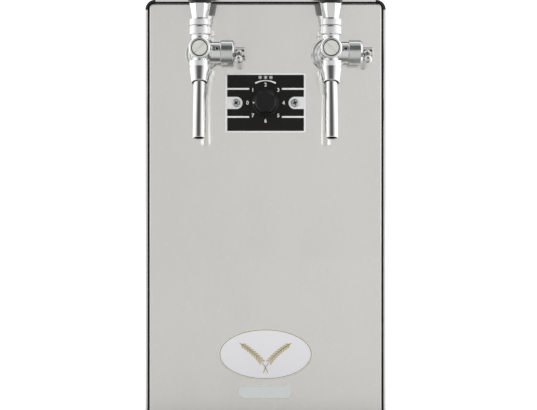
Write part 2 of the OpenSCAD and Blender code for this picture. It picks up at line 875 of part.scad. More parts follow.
module inlet_fittings() color([0.85, 0.86, 0.88]) {
    body_d = inlet_tube_d + 11;
    nut_d = body_d + 8;
    end = inlet_out - 5;
    for (side = [-1, 1]) at_inlet(side) difference() {
        union() {
            rod_forward(-inlet_tail, 1, inlet_thread_d());
            rotate([90, 0, 0]) rotate([0, 0, 30]) cylinder(d = nut_d, h = 6, $fn = 6);
            translate([0, cover_t, 0]) rotate([-90, 0, 0]) rotate([0, 0, 30])
                cylinder(d = nut_d, h = 7, $fn = 6);
            turn_forward() polygon([
                [0, 0], [body_d / 2, 0], [body_d / 2, end - 1.5], [body_d / 2 - 1.5, end], [0, end]
            ]);
        }
        rod_forward(-inlet_tail - eps, end + eps, inlet_tube_d - 2.5);
        rod_forward(2, end + eps, inlet_bore_d());
        rod_forward(collet_seat, end + eps, collet_d() + 2 * run_fit);
    }
}

module inlet_collet(side) {
    at_inlet(side) difference() {
        union() {
            rod_forward(collet_seat + collet_travel + free_gap, inlet_out, collet_d());
            rod_forward(inlet_out - 2.8, inlet_out, inlet_tube_d + 6);
        }
        rod_forward(collet_seat - 1, inlet_out + 1, inlet_bore_d());
    }
}

module inlet_collet_left() color(black) inlet_collet(-1);
module inlet_collet_right() color(black) inlet_collet(1);

module mains_inlet() color(black) {
    outer_w = socket_w + 2 * mains_wall;
    outer_h = socket_h + 2 * mains_wall;
    translate([mains_x, y_rear, mains_z]) {
        difference() {
            union() {
                stand(0, 2.5) rounded(mains_w, mains_h, 3);
                stand(-socket_deep_m, socket_deep_m) square([outer_w, outer_h], center = true);
            }
            stand(-socket_deep_m + mains_wall, socket_deep_m + 3) polygon([
                [-socket_w / 2, -socket_h / 2], [socket_w / 2, -socket_h / 2],
                [socket_w / 2, socket_h / 2 - 5], [socket_w / 2 - 5, socket_h / 2],
                [-socket_w / 2 + 5, socket_h / 2], [-socket_w / 2, socket_h / 2 - 5]
            ]);
        }
        for (pin = [[-7, -2], [7, -2], [0, 3]])
            translate([pin[0] - 1, -socket_deep_m - 5, pin[1] - 2]) cube([2, pin_l + 5, 4]);
    }
}

module compressor() color(black) {
    r = shell_d / 2;
    translate([comp_x, comp_y, 0]) {
        translate([0, 0, shell_z0]) rotate_extrude() polygon(concat(
            [[0, 0], [r - 26, 0], [r - 12, 4], [r - 2, 16], [r, 26], [r, shell_h / 2 - 3],
             [r + 3, shell_h / 2 - 3], [r + 3, shell_h / 2], [r, shell_h / 2]],
            dome_points(r, shell_h - 38, shell_h, 10)
        ));
        difference() {
            translate([-comp_plate_w / 2, -comp_plate_d / 2, shell_z0 - 3])
                cube([comp_plate_w, comp_plate_d, 3.5]);
            for (place = mount_places())
                translate([place[0], place[1], 0]) rod_up(shell_z0 - 5, shell_z0 + 2, 8);
        }
        for (side = [-1, 1])
            translate([side * stub_x, 0, 0]) rod_up(shell_z1 - 16, stub_z, gas_line_d + 2);
    }
}

function mount_places() = [for (x = [-1, 1], y = [-1, 1])
    [x * (comp_plate_w / 2 - 8), y * (comp_plate_d / 2 - 8)]];

module compressor_mounts() color(black) {
    for (place = mount_places()) translate([comp_x + place[0], comp_y + place[1], floor_z]) {
        cylinder(d = 16, h = mount_h);
        cylinder(d = 7.4, h = mount_h + 5);
    }
}

module terminal_cover() color(black) {
    r = shell_d / 2;
    difference() {
        translate([comp_x + r - 10, comp_y - 24, shell_z0 + 30]) cube([36, 48, 34]);
        translate([comp_x, comp_y, shell_z0 - 1]) cylinder(r = r, h = shell_h);
    }
}

module at_rows() {
    for (row = [0 : cond_rows - 1], side = [-1, 1])
        translate([side * column_pitch / 2, row_z0 + row * row_pitch]) children();
}

module condenser_fins() color([0.75, 0.76, 0.78]) {
    for (i = [0 : fin_count - 1]) translate([(i - (fin_count - 1) / 2) * fin_pitch - 0.4, cond_y, 0])
        rotate([90, 0, 90]) linear_extrude(0.8) difference() {
            translate([-cond_depth / 2, cond_low]) square([cond_depth, cond_h]);
            at_rows() circle(d = tube_d, $fn = 32);
        }
    for (side = [-1, 1]) translate([side * cond_half - 0.75, cond_y, 0]) difference() {
        union() {
            rotate([90, 0, 90]) linear_extrude(1.5)
                translate([-cond_depth / 2 - 2, floor_z]) square([cond_depth + 4, cond_h + 10]);
            translate([side > 0 ? -12 : 0, -cond_depth / 2 - 2, floor_z]) cube([13.5, cond_depth + 4, 1.5]);
        }
        translate([-1, 0, 0]) rotate([90, 0, 90]) linear_extrude(4) at_rows() circle(d = tube_d, $fn = 32);
    }
}

function row_z(row) = row_z0 + row * row_pitch;
turn_x = cond_half + 10;
serpentine_x = -cond_half - 4;
// Corner points of the serpentine: down the front column and up the rear one
serpentine = concat(
    [[serpentine_x, cond_y - column_pitch / 2, row_z(cond_rows - 1)]],
    [for (i = [0 : cond_rows - 1], end = [0, 1]) if (!(i == 0 && end == 0))
        [(i + end) % 2 == 0 ? -turn_x : turn_x, cond_y - column_pitch / 2, row_z(cond_rows - 1 - i)]],
    [for (i = [0 : cond_rows - 1], end = [0, 1]) if (!(i == cond_rows - 1 && end == 1))
        [(i + end) % 2 == 0 ? turn_x : -turn_x, cond_y + column_pitch / 2, row_z(i)]],
    [[serpentine_x, cond_y + column_pitch / 2, row_z(cond_rows - 1)]]
);

module condenser_tube() color(copper) {
    pipe(serpentine, tube_d, 9);
}

module fan_shroud() color(black) {
    difference() {
        union() {
            translate([-fan_half_w, shroud_y, floor_z]) cube([2 * fan_half_w, shroud_t, 2 * fan_half_h]);
            translate([-fan_half_w, shroud_y, floor_z]) cube([2 * fan_half_w, shroud_flange, 1.5]);
            translate([0, shroud_y + shroud_t, fan_z]) rod_forward(0, 16, fan_d + 12);
        }
        translate([0, shroud_y + shroud_t, fan_z]) rod_forward(-eps, 17, fan_d + 8);
    }
    difference() {
        union() {
            for (turn = [45, 135, 225, 315])
                translate([0, motor_y1 - 6, fan_z]) rotate([0, turn, 0])
                    translate([0, -3, -5]) cube([fan_d / 2 + 6, 6, 10]);
            for (turn = [45, 135, 225, 315])
                translate([0, motor_y1 - 6, fan_z]) rotate([0, turn, 0])
                    translate([fan_d / 2 + 4, -3, -5]) cube([4, shroud_y - motor_y1 + 9.5, 10]);
        }
        translate([0, motor_y1 + 1, fan_z]) rod_forward(0, motor_len + 2, motor_d);
    }
}

module fan_motor() color(steel) {
    translate([0, motor_y1, fan_z]) difference() {
        rod_forward(0, motor_len, motor_d);
        rod_forward(-1, motor_len - 6, motor_shaft_d + 2 * run_fit);
    }
}

module fan_rotor() color(black) {
    translate([0, rotor_y, fan_z]) {
        difference() {
            rod_forward(-rotor_t / 2, rotor_t, 2 * hub_half);
            rod_forward(-rotor_t / 2 - 1, rotor_t - 4, 2 * hub_half - 6);
        }
        rod_forward(0, blade_reach + motor_len - 8, motor_shaft_d);
        for (i = [0 : blade_count - 1]) rotate([0, i * 360 / blade_count, 0]) intersection() {
            rotate([30, 0, 0]) translate([hub_half - 1, -blade_t / 2, -26]) cube([fan_d / 2, blade_t, 52]);
            difference() {
                rod_forward(-rotor_t / 2, rotor_t, fan_d);
                rod_forward(-rotor_t / 2 - 1, rotor_t + 1, 2 * hub_half - 1);
            }
            translate([0, -20, -30]) cube([fan_d, 40, 60]);
        }
    }
}

module filter_drier() color(copper) {
    translate([-drier_x, drier_y0, drier_z]) rotate([-90, 0, 0]) rotate_extrude() polygon([
        [0, 0], [3, 0], [3, 4], [drier_d / 2, 12], [drier_d / 2, drier_l - 12],
        [3, drier_l - 4], [3, drier_l], [0, drier_l]
    ]);
}

module refrigerant_lines() color(copper) {
    top = row_z(cond_rows - 1);
    front_row = cond_y - column_pitch / 2;
    rear_row = cond_y + column_pitch / 2;
    pipe([
        [comp_x - stub_x, comp_y, stub_z], [comp_x - stub_x, comp_y, gas_z], [-gas_side, comp_y, gas_z],
        [-gas_side, front_row, gas_z], [-gas_side, front_row, top], [serpentine_x, front_row, top]
    ], gas_line_d, 5);
    pipe([
        [serpentine_x, rear_row, top], [-gas_side, rear_row, top], [-gas_side, rear_row, drier_z],
        [-gas_side, drier_y1 + 14, drier_z], [-drier_x, drier_y1 + 14, drier_z], [-drier_x, drier_y1, drier_z]
    ], gas_line_d, 5);
    pipe([
        [-drier_x, drier_y0, drier_z], [-drier_x, drier_y0 - 10, drier_z],
        [-drier_x, drier_y0 - 10, capillary_z], [capillary_x, drier_y0 - 10, capillary_z],
        [capillary_x, capillary_y, capillary_z],
        [capillary_x, capillary_y, block_z0]
    ], capillary_d, 4);
    pipe([
        [suction_x, suction_y, block_z0], [suction_x, suction_y, gas_z],
        [comp_x + stub_x, comp_y, gas_z], [comp_x + stub_x, comp_y, stub_z]
    ], gas_line_d, 5);
}

module tap_rosettes() color(chrome) {
    r = rosette_d / 2;
    bore = shank_d / 2 + hole_fit;
    for (side = [-1, 1]) at_tap(side) turn_forward() polygon([
        [bore, 0], [r, 0], [r, 1.6], [r - 1.4, 3], [r - 3, 3.2], [r - 5, rosette_t], [bore, rosette_t]
    ]);
}

module shank_nuts() color(chrome) {
    for (side = [-1, 1]) at_tap(side) difference() {
        rotate([90, 0, 0]) translate([0, 0, -panel_t - 7]) cylinder(d = 26, h = 7, $fn = 6);
        rod_forward(-panel_t - 8, 0, shank_d);
    }
}

module tap_body() {
    r = barrel_d / 2;
    difference() {
        union() {
            turn_forward() polygon([
                [0, -shank_tail], [shank_d / 2, -shank_tail], [shank_d / 2, rosette_t],
                [r + 1, rosette_t], [r + 1, rosette_t + 1.6], [r, rosette_t + 2.4],
                [r, barrel_front - 0.8], [r - 0.8, barrel_front], [0, barrel_front]
            ]);
            translate([0, -comp_v, 0]) rod_side(0, boss_x, boss_d);
            translate(outlet_root) {
                rod_up(0, neck_top, neck_d);
                rod_up(neck_top - 1, spigot_top, spigot_d);
                aim(outlet_dir) cylinder(d1 = outlet_top_d, d2 = outlet_tip_d, h = outlet_len);
            }
        }
        rod_forward(-shank_tail - 1, comp_v, channel_d);
        rod_forward(seat_back, chamber_back + 1, seat_d);
        rod_forward(chamber_back, plug_back + 1, chamber_d);
        rod_forward(plug_back, barrel_front + 1, plug_thread_d);
        translate([0, -comp_v, 0]) {
            rod_side(-2, boss_x - spigot_len - 2, 8);
            rod_side(boss_x - spigot_len - 3, boss_x + 1, boss_bore_d + 0.1);
        }
        translate([9, -comp_v - 3, 0]) aim([-6, -9, 0]) cylinder(d = 4, h = 11);
        translate(outlet_root) {
            rod_up(5, spigot_top + 1, ball_d + 2 * free_gap);
            translate([0, 0, pivot_w]) stem_sweep();
            aim(outlet_dir) translate([0, 0, 5]) cylinder(d = spout_id, h = outlet_len);
            aim(outlet_dir) translate([0, 0, outlet_len - socket_deep])
                cylinder(d = spigot_od + 2 * run_fit, h = socket_deep + 1);
        }
    }
}

module tap_body_left() color(chrome) at_tap(-1) tap_body();
module tap_body_right() color(chrome) at_tap(1) tap_body();

module front_plugs() color(chrome) {
    for (side = [-1, 1]) at_tap(side) difference() {
        turn_forward() polygon([
            [0, plug_back], [plug_thread_d / 2, plug_back], [plug_thread_d / 2, barrel_front - plug_sink],
            [plug_face_d / 2, barrel_front - plug_sink], [plug_face_d / 2, barrel_front - 0.4],
            [plug_face_d / 2 - 0.6, barrel_front + 0.2], [0, barrel_front + 0.2]
        ]);
        translate([0, -barrel_front - 0.2, 0]) rotate([0, side * 45, 0])
            translate([-plug_face_d / 2, -1, -0.8]) cube([plug_face_d, 2.4, 1.6]);
    }
}

// Space that the lever stem sweeps, seen from the side, about the ball's middle
module stem_sweep() {
    reach = 30;
    low = slot_half / cos(lever_pull);
    back = slot_half / cos(lever_push);
    rotate([90, 0, 90]) translate([0, 0, -slot_half]) linear_extrude(2 * slot_half) polygon([
        [-low, 0], [-low - reach * sin(lever_pull), reach * cos(lever_pull)],
        [back + reach * sin(lever_push), reach * cos(lever_push)], [back, 0]
    ]);
}

module collar_nuts() color(chrome) {
    for (side = [-1, 1]) at_tap(side) translate(outlet_root + [0, 0, pivot_w]) difference() {
        intersection() {
            sphere(r = dome_r);
            rod_up(neck_top - pivot_w, dome_r + 1, collar_d);
        }
        rod_up(neck_top - pivot_w - 1, spigot_top - pivot_w, spigot_d + 0.1);
        sphere(d = ball_d + 2 * free_gap);
        stem_sweep();
    }
}

module lever_stem() {
    translate(outlet_root) {
        translate([0, 0, pivot_w]) sphere(d = ball_d);
        rod_up(0, pivot_w, arm_d);
        sphere(d = tip_d);
        rod_up(pivot_w, cap_top, stem_d);
        rod_up(cap_top - 1, handle_w0 + 12, stem_d - 0.5);
    }
}

module lever_stem_left() color(steel) at_tap(-1) lever_stem();
module lever_stem_right() color(steel) at_tap(1) lever_stem();

module splash_collar() {
    r = collar_d / 2;
    translate(outlet_root) difference() {
        rotate_extrude() polygon([
            [0, cap_low], [r, cap_low], [r, cap_top - 0.8], [r - 0.8, cap_top], [0, cap_top]
        ]);
        translate([0, 0, pivot_w]) sphere(r = dome_r + free_gap);
        rod_up(pivot_w, cap_top + 1, stem_d);
    }
}

module splash_collar_left() color(chrome) at_tap(-1) splash_collar();
module splash_collar_right() color(chrome) at_tap(1) splash_collar();

module handle_ferrule() {
    over = 1 / cos(22.5);
    translate(outlet_root) difference() {
        translate([0, 0, cap_top]) rotate([0, 0, 22.5])
            cylinder(d1 = ferrule_low * over, d2 = ferrule_high * over, h = ferrule_h, $fn = 8);
        rod_up(cap_top - 1, handle_w0 + 1, stem_d - 0.5);
    }
}

module handle_ferrule_left() color(chrome) at_tap(-1) handle_ferrule();
module handle_ferrule_right() color(chrome) at_tap(1) handle_ferrule();

// Radius of the handle at a share of its flared length
function flare(share) = handle_low / 2 + (handle_d - handle_low) / 2 * sin(90 * share);

module tap_handle() {
    flare_h = handle_h * 0.76;
    translate(outlet_root + [0, 0, handle_w0]) difference() {
        rotate_extrude() polygon(concat(
            [[0, 0], [handle_low / 2 - 0.8, 0]],
            [for (i = [0 : 12]) [flare(i / 12), 0.8 + (flare_h - 0.8) * i / 12]],
            dome_points(handle_d / 2, flare_h + 1, handle_h, 10)
        ));
        rod_up(-1, 12, stem_d - 0.5);
    }
}

module tap_handle_left() color(black) at_tap(-1) tap_handle();
module tap_handle_right() color(black) at_tap(1) tap_handle();

module tap_plunger() {
    disc_d = chamber_d - 2 * run_fit;
    difference() {
        union() {
            rod_forward(stem_v - 20, stem_v - 14, seat_d - 2 * run_fit);
            rod_forward(stem_v - 15, stem_v - 6, 6);
            rod_forward(stem_v - 6.4, stem_v - 4, disc_d);
            intersection() {
                rod_forward(stem_v - 5, stem_v + 6, disc_d);
                translate([-chamber_d, -stem_v - 7, -5]) cube([2 * chamber_d, 14, 6.5]);
            }
            rod_forward(stem_v + 5.6, stem_v + 8, disc_d);
        }
        translate([-3, -stem_v - tip_d / 2 - 0.45, -3.2]) cube([6, tip_d + 0.9, 12]);
        for (side = [-1, 1]) translate([side > 0 ? 5.6 : -15.6, -stem_v - 10, -4]) cube([10, 20, 8]);
    }
}

module tap_plunger_left() color(steel) at_tap(-1) tap_plunger();
module tap_plunger_right() color(steel) at_tap(1) tap_plunger();

module spout() {
    difference() {
        union() {
            translate(spout_centre) rotate([90, 0, -90]) rotate([0, 0, tip_lean])
                rotate_extrude(angle = outlet_lean - tip_lean) translate([spout_r, 0]) difference() {
                    circle(d = spout_od);
                    circle(d = spout_id);
                }
            translate(outlet_root) aim(outlet_dir) translate([0, 0, outlet_len - socket_deep + 0.5])
                difference() {
                    cylinder(d = spigot_od, h = socket_deep);
                    translate([0, 0, -1]) cylinder(d = spigot_id, h = socket_deep + 2);
                }
        }
        translate(spout_end) aim(tip_dir) translate([0, 0, -tip_bore_len])
            cylinder(d = spout_id + 0.2, h = tip_bore_len + 1);
    }
}

module spout_left() color(chrome) at_tap(-1) spout();
module spout_right() color(chrome) at_tap(1) spout();

module compensator_housing() {
    r = housing_d / 2;
    translate([0, -comp_v, 0]) turn_side() polygon([
        [cone_d / 2, boss_x - spigot_len], [boss_bore_d / 2, boss_x - spigot_len], [boss_bore_d / 2, boss_x],
        [r - 0.6, boss_x], [r, boss_x + 0.6], [r, housing_x1 - 2.4], [r - 0.8, housing_x1 - 0.8],
        [r - 2.4, housing_x1], [spindle_d / 2 + run_fit, housing_x1],
        [spindle_d / 2 + run_fit, housing_x1 - 3], [cone_d / 2, housing_x1 - 3]
    ]);
}

module compensator_housing_left() color(chrome) at_tap(-1) compensator_housing();
module compensator_housing_right() color(chrome) at_tap(1) compensator_housing();

module compensator_cone() {
    r = cone_d / 2 - run_fit;
    x0 = boss_x - spigot_len + 2;
    x1 = spindle_in - 3;
    translate([0, -comp_v, 0]) turn_side() polygon([
        [0, x0 - 3.5], [2, x0 - 3.5], [r, x0], [r, x1], [2.4, x1], [2.4, x0 + 1], [0, x0 + 1]
    ]);
}

module compensator_cone_left() color([0.9, 0.9, 0.88]) at_tap(-1) compensator_cone();
module compensator_cone_right() color([0.9, 0.9, 0.88]) at_tap(1) compensator_cone();

module compensator_lever() {
    translate([0, -comp_v, 0]) {
        turn_side() polygon([
            [0, boss_x - 1], [2, boss_x - 1], [2, spindle_in], [spindle_d / 2, spindle_in],
            [spindle_d / 2, hub_x0], [hub_d / 2, hub_x0], [hub_d / 2, hub_x0 + hub_l - 1],
            [hub_d / 2 - 1, hub_x0 + hub_l], [0, hub_x0 + hub_l]
        ]);
        translate([comp_arm_x, 0, 0]) rotate([90 + comp_droop, 0, 0]) difference() {
            union() {
                cylinder(d1 = comp_tip_d - 1.4, d2 = comp_tip_d - 0.1, h = comp_arm);
                translate([0, 0, comp_arm]) sphere(d = comp_tip_d);
            }
            translate([0, 0, comp_arm + comp_tip_d / 2 - 1.5]) cylinder(d = 2.4, h = 3);
        }
    }
}

module compensator_lever_left() color(chrome) at_tap(-1) compensator_lever();
module compensator_lever_right() color(chrome) at_tap(1) compensator_lever();

outer_cover();
corner_trims();
front_seal();
front_panel();
rear_panel();
base_tray();
rubber_feet();
casing_screws();
hand_grips();
oval_badge();
pill_badge();
dial_plate();
dial_screws();
dial_knob();
dial_spindle();
thermostat_body();
thermostat_probe();
block_shelf();
insulation_tub();
insulation_lid();
cooling_block();
beer_lines();
inlet_fittings();
inlet_collet_left();
inlet_collet_right();
mains_inlet();
compressor();
compressor_mounts();
terminal_cover();
condenser_fins();
condenser_tube();
fan_shroud();
fan_motor();
fan_rotor();
filter_drier();
refrigerant_lines();
tap_rosettes();
shank_nuts();
front_plugs();
collar_nuts();
tap_body_left();
tap_body_right();
spout_left();
spout_right();
compensator_housing_left();
compensator_housing_right();
compensator_cone_left();
compensator_cone_right();
compensator_lever_left();
compensator_lever_right();
lever_stem_left();
lever_stem_right();
splash_collar_left();
splash_collar_right();
handle_ferrule_left();
handle_ferrule_right();
tap_handle_left();
tap_handle_right();
tap_plunger_left();
tap_plunger_right();
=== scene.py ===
"""Counter-top draft beer dispenser with two taps: looks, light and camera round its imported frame.

Sizes are millimetres in the part's own frame: X to the right, Y to the rear, Z up.
Meshes are stored in metres.
"""

import logging
import math
from dataclasses import dataclass
from enum import Enum
from typing import Callable, Dict, List, Optional, Sequence, Tuple, Union

import bpy
import numpy as np
from mathutils import Matrix, Vector


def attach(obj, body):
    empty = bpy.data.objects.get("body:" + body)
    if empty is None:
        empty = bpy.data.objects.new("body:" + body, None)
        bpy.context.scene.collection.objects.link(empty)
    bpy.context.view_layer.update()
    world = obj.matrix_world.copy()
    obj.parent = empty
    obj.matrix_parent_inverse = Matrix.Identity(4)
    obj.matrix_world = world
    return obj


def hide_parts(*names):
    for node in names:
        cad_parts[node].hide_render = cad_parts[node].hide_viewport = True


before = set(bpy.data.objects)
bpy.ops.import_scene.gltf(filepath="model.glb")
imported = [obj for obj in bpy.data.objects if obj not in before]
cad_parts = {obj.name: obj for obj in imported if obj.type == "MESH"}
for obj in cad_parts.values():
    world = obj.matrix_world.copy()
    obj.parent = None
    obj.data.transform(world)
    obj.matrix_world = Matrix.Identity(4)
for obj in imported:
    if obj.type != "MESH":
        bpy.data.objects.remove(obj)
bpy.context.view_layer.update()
MM = 0.001
PANEL_FACE = -161.6
REAR_FACE = 221.8
LEAST_CORNER = 0.15
TINY = 1e-4
POLE_R = 1e-3
SHARP = math.radians(32)
EASED_FROM = math.radians(38)
EASED_STEPS = 3
WELD_REACH = 0.00001
log = logging.getLogger("dispenser")

Flat = Tuple[float, float]
Corner = Tuple[float, float, float]
Colour = Tuple[float, float, float]
Rings = List[np.ndarray]


class Side(Enum):
    """Which of the two taps, seen from the front."""

    LEFT = -1
    RIGHT = 1

    @property
    def word(self) -> str:
        """Name ending of the side's nodes and bodies."""
        return self.name.lower()


class Facing(Enum):
    """Direction that a piece's own Z axis takes, given as its right, up and outward axes."""

    FRONT = ((1, 0, 0), (0, 0, 1), (0, -1, 0))
    REAR = ((-1, 0, 0), (0, 0, 1), (0, 1, 0))
    RIGHT = ((0, 1, 0), (0, 0, 1), (1, 0, 0))
    LEFT = ((0, -1, 0), (0, 0, 1), (-1, 0, 0))
    UP = ((1, 0, 0), (0, 1, 0), (0, 0, 1))
    DOWN = ((1, 0, 0), (0, -1, 0), (0, 0, -1))

    def at(self, x: float, y: float, z: float) -> Matrix:
        """Placement with this facing and its origin at a point."""
        right, up, out = (Vector(v) for v in self.value)
        return Matrix.Translation((x, y, z)) @ Matrix((right, up, out)).transposed().to_4x4()


def along(start: Sequence[float], direction: Sequence[float]) -> Matrix:
    """Placement at a start, whose Z axis runs along a direction."""
    turn = Vector(direction).to_track_quat("Z", "Y").to_matrix().to_4x4()
    return Matrix.Translation(Vector(start)) @ turn


def spin(degrees: float, axis: str = "Z") -> Matrix:
    """Turn about one of a placement's own axes."""
    return Matrix.Rotation(math.radians(degrees), 4, axis)


# ---- Shader expressions


def maths(operation: str, swapped: bool = False) -> Callable[["Wire", "Value"], "Wire"]:
    """Operator on a wire that adds one Math node.

    Args:
        operation: The node's operation.
        swapped: Whether the other value comes first, as in the reflected forms.

    Returns:
        The operator.
    """
    def operator(wire: "Wire", other: "Value" = 0.0) -> "Wire":
        """The added node's output."""
        inputs = dict(enumerate((other, wire) if swapped else (wire, other)))
        return wire.painter.node("ShaderNodeMath", {"operation": operation}, inputs)

    return operator


class Wire:
    """Output of a shader node that Python's operators work on."""

    __add__ = __radd__ = maths("ADD")
    __sub__, __rsub__ = maths("SUBTRACT"), maths("SUBTRACT", swapped=True)
    __mul__ = __rmul__ = maths("MULTIPLY")
    __pow__ = maths("POWER")
    __abs__ = maths("ABSOLUTE")
    # The larger and the smaller of two values.
    above, below = maths("MAXIMUM"), maths("MINIMUM")
    # The angle of a point whose coordinates are two values, and the angle whose sine is the wire.
    turned_from, rise = maths("ARCTAN2"), maths("ARCSINE")

    def __init__(self, painter: "Painter", socket: bpy.types.NodeSocket) -> None:
        """Keeps the painter whose tree the socket is in."""
        self.painter = painter
        self.socket = socket

    def ramp(self, low: float, high: float, start: float = 0.0, end: float = 1.0) -> "Wire":
        """Soft step of the wire.

        Args:
            low: Where the step starts.
            high: Where the step ends.
            start: Value before the step.
            end: Value after the step.

        Returns:
            The stepped value.
        """
        settings = {"interpolation_type": "SMOOTHSTEP"}
        inputs = {"Value": self, "From Min": low, "From Max": high, "To Min": start, "To Max": end}
        return self.painter.node("ShaderNodeMapRange", settings, inputs)


Value = Union[float, Wire]
Paint = Union[Colour, Wire]


class Painter:
    """Node tree of one material or of the world."""

    def __init__(self, owner: Union[bpy.types.Material, bpy.types.World]) -> None:
        """Clears the owner's tree.

        Args:
            owner: The material or world.
        """
        owner.use_nodes = True
        self.tree = owner.node_tree
        self.tree.nodes.clear()

    def node(
        self,
        kind: str,
        settings: Optional[Dict[str, object]] = None,
        inputs: Optional[Dict[Union[int, str], object]] = None,
        output: Union[int, str] = 0,
    ) -> Wire:
        """Adds a node.

        Args:
            kind: The node's type.
            settings: Its properties, set first.
            inputs: Values or wires of its sockets.
            output: The output that is returned.

        Returns:
            The chosen output.
        """
        made = self.tree.nodes.new(kind)
        for name, value in (settings or {}).items():
            setattr(made, name, value)
        for key, value in (inputs or {}).items():
            socket = made.inputs[key]
            if isinstance(value, Wire):
                self.tree.links.new(value.socket, socket)
            elif socket.type == "RGBA" and len(value) == 3:
                socket.default_value = (*value, 1.0)
            else:
                socket.default_value = value
        return Wire(self, made.outputs[output])

    def place(self) -> Wire:
        """Coordinates on the piece itself, in metres."""
        return self.node("ShaderNodeTexCoord", output="Object")

    def axis(self, index: int) -> Wire:
        """One of the coordinates on the piece, in metres."""
        return self.node("ShaderNodeSeparateXYZ", {}, {0: self.place()}, index)

    def stretched(self, scale: Sequence[float], turn: Sequence[float] = (0, 0, 0)) -> Wire:
        """Piece coordinates turned by degrees, then stretched by cycles per metre."""
        inputs = {"Vector": self.place(), "Scale": scale, "Rotation": list(map(math.radians, turn))}
        return self.node("ShaderNodeMapping", {"vector_type": "POINT"}, inputs)

    def noise(self, scale: Union[float, Sequence[float]], detail: float = 3.0,
              rough: float = 0.5) -> Wire:
        """Cloudy noise from 0 to 1.

        Args:
            scale: Cycles per metre, one number or one per axis.
            detail: Number of octaves.
            rough: Strength of the finer octaves.

        Returns:
            The noise value.
        """
        each = (scale,) * 3 if isinstance(scale, (int, float)) else scale
        inputs = {"Vector": self.stretched(each), "Scale": 1.0,
                  "Detail": detail, "Roughness": rough}
        return self.node("ShaderNodeTexNoise", {}, inputs)

    def cells(self, scale: float, feature: str = "F1") -> Wire:
        """Distance to the nearest of scattered points, for grains and pits."""
        inputs = {"Vector": self.place(), "Scale": scale}
        return self.node("ShaderNodeTexVoronoi", {"feature": feature}, inputs)

    def scratches(self, scale: float, turn: Sequence[float], width: float) -> Wire:
        """Fine scattered lines in one direction.

        Args:
            scale: Cycles per metre across the lines.
            turn: Turn of the lines about each axis, in degrees.
            width: Share of the surface that they cover.

        Returns:
            1 on a line and 0 beside it.
        """
        drawn = self.stretched((scale, scale * 0.02, scale), turn)
        lines = self.node("ShaderNodeTexNoise", {}, {"Vector": drawn, "Scale": 1.0, "Detail": 1.0})
        return lines.ramp(0.78 - width, 0.80 - width) * self.noise(scale * 0.05, 2).ramp(0.45, 0.6)

    def mix(self, share: Value, first: Paint, second: Paint) -> Wire:
        """Blend of two colours by a share from 0 to 1."""
        return self.node("ShaderNodeMix", {"data_type": "RGBA"}, {0: share, 6: first, 7: second}, 2)

    def bump(self, height: Wire, depth: float, normal: Optional[Wire] = None) -> Wire:
        """Relief.

        Args:
            height: Height from 0 to 1.
            depth: Depth of the relief, in millimetres.
            normal: Relief that this one is added to.

        Returns:
            The normal.
        """
        inputs: Dict[Union[int, str], object] = {
            "Height": height, "Strength": 1.0, "Distance": depth * MM}
        if normal is not None:
            inputs["Normal"] = normal
        return self.node("ShaderNodeBump", {}, inputs)

    def shader(self, **sockets: object) -> Wire:
        """Adds a principled shader.

        Args:
            **sockets: Its inputs by their names, with underscores for spaces.

        Returns:
            The shader.
        """
        names = {"specular": "Specular IOR Level"}
        inputs = {names.get(k, k.replace("_", " ").title()): v for k, v in sockets.items()}
        return self.node("ShaderNodeBsdfPrincipled", {}, inputs)

    def surface(self, **sockets: object) -> None:
        """Ends the material in one principled shader."""
        self.finish("ShaderNodeOutputMaterial", self.shader(**sockets))

    def finish(self, kind: str, shader: Wire) -> None:
        """Links a shader to the tree's output node."""
        self.tree.links.new(shader.socket, self.tree.nodes.new(kind).inputs["Surface"])


# ---- Finishes


@dataclass(frozen=True)
class Finish:
    """A surface finish, made once and shared."""

    name: str

    def paint(self, p: Painter) -> None:
        """Fills the material's tree."""
        raise NotImplementedError

    def material(self) -> bpy.types.Material:
        """Makes the finish's material at its first use.

        Returns:
            The material.
        """
        found = bpy.data.materials.get(self.name)
        if found is None:
            found = bpy.data.materials.new(self.name)
            self.paint(Painter(found))
        return found


@dataclass(frozen=True)
class SheetSteel(Finish):
    """Stainless sheet with a grain in one direction."""

    colour: Colour = (0.62, 0.62, 0.61)
    roughness: float = 0.28
    grain: Tuple[float, float, float] = (900.0, 9.0, 900.0)
    depth: float = 0.004
    waviness: float = 0.02
    hem: Optional[float] = None

    def paint(self, p: Painter) -> None:
        """Grain lines, slow waves, faint smears and a hem that is polished in front of a plane.

        Args:
            p: Painter of the material's tree.
        """
        fine = p.noise(self.grain, 4, 0.7)
        broad = p.noise([g * 0.16 for g in self.grain], 2, 0.5)
        smear = p.noise((7, 7, 7), 3, 0.55)
        lines = fine * 0.65 + broad * 0.35
        dark, light = [c * 0.93 for c in self.colour], [min(c * 1.05, 1) for c in self.colour]
        colour = p.mix(lines.ramp(0.3, 0.7), dark, light)
        rough = self.roughness + (lines - 0.5) * 0.16 + (smear - 0.5) * 0.06
        if self.hem is not None:
            front = p.axis(1).ramp(self.hem * MM, (self.hem + 0.2) * MM, 1.0, 0.0)
            colour = p.mix(front, colour, (0.97, 0.97, 0.96))
            rough = rough - front * (self.roughness - 0.16)
        relief = p.bump(lines, self.depth, p.bump(p.noise(5.0, 1), self.waviness))
        p.surface(base_color=colour, metallic=1.0, roughness=rough, normal=relief)


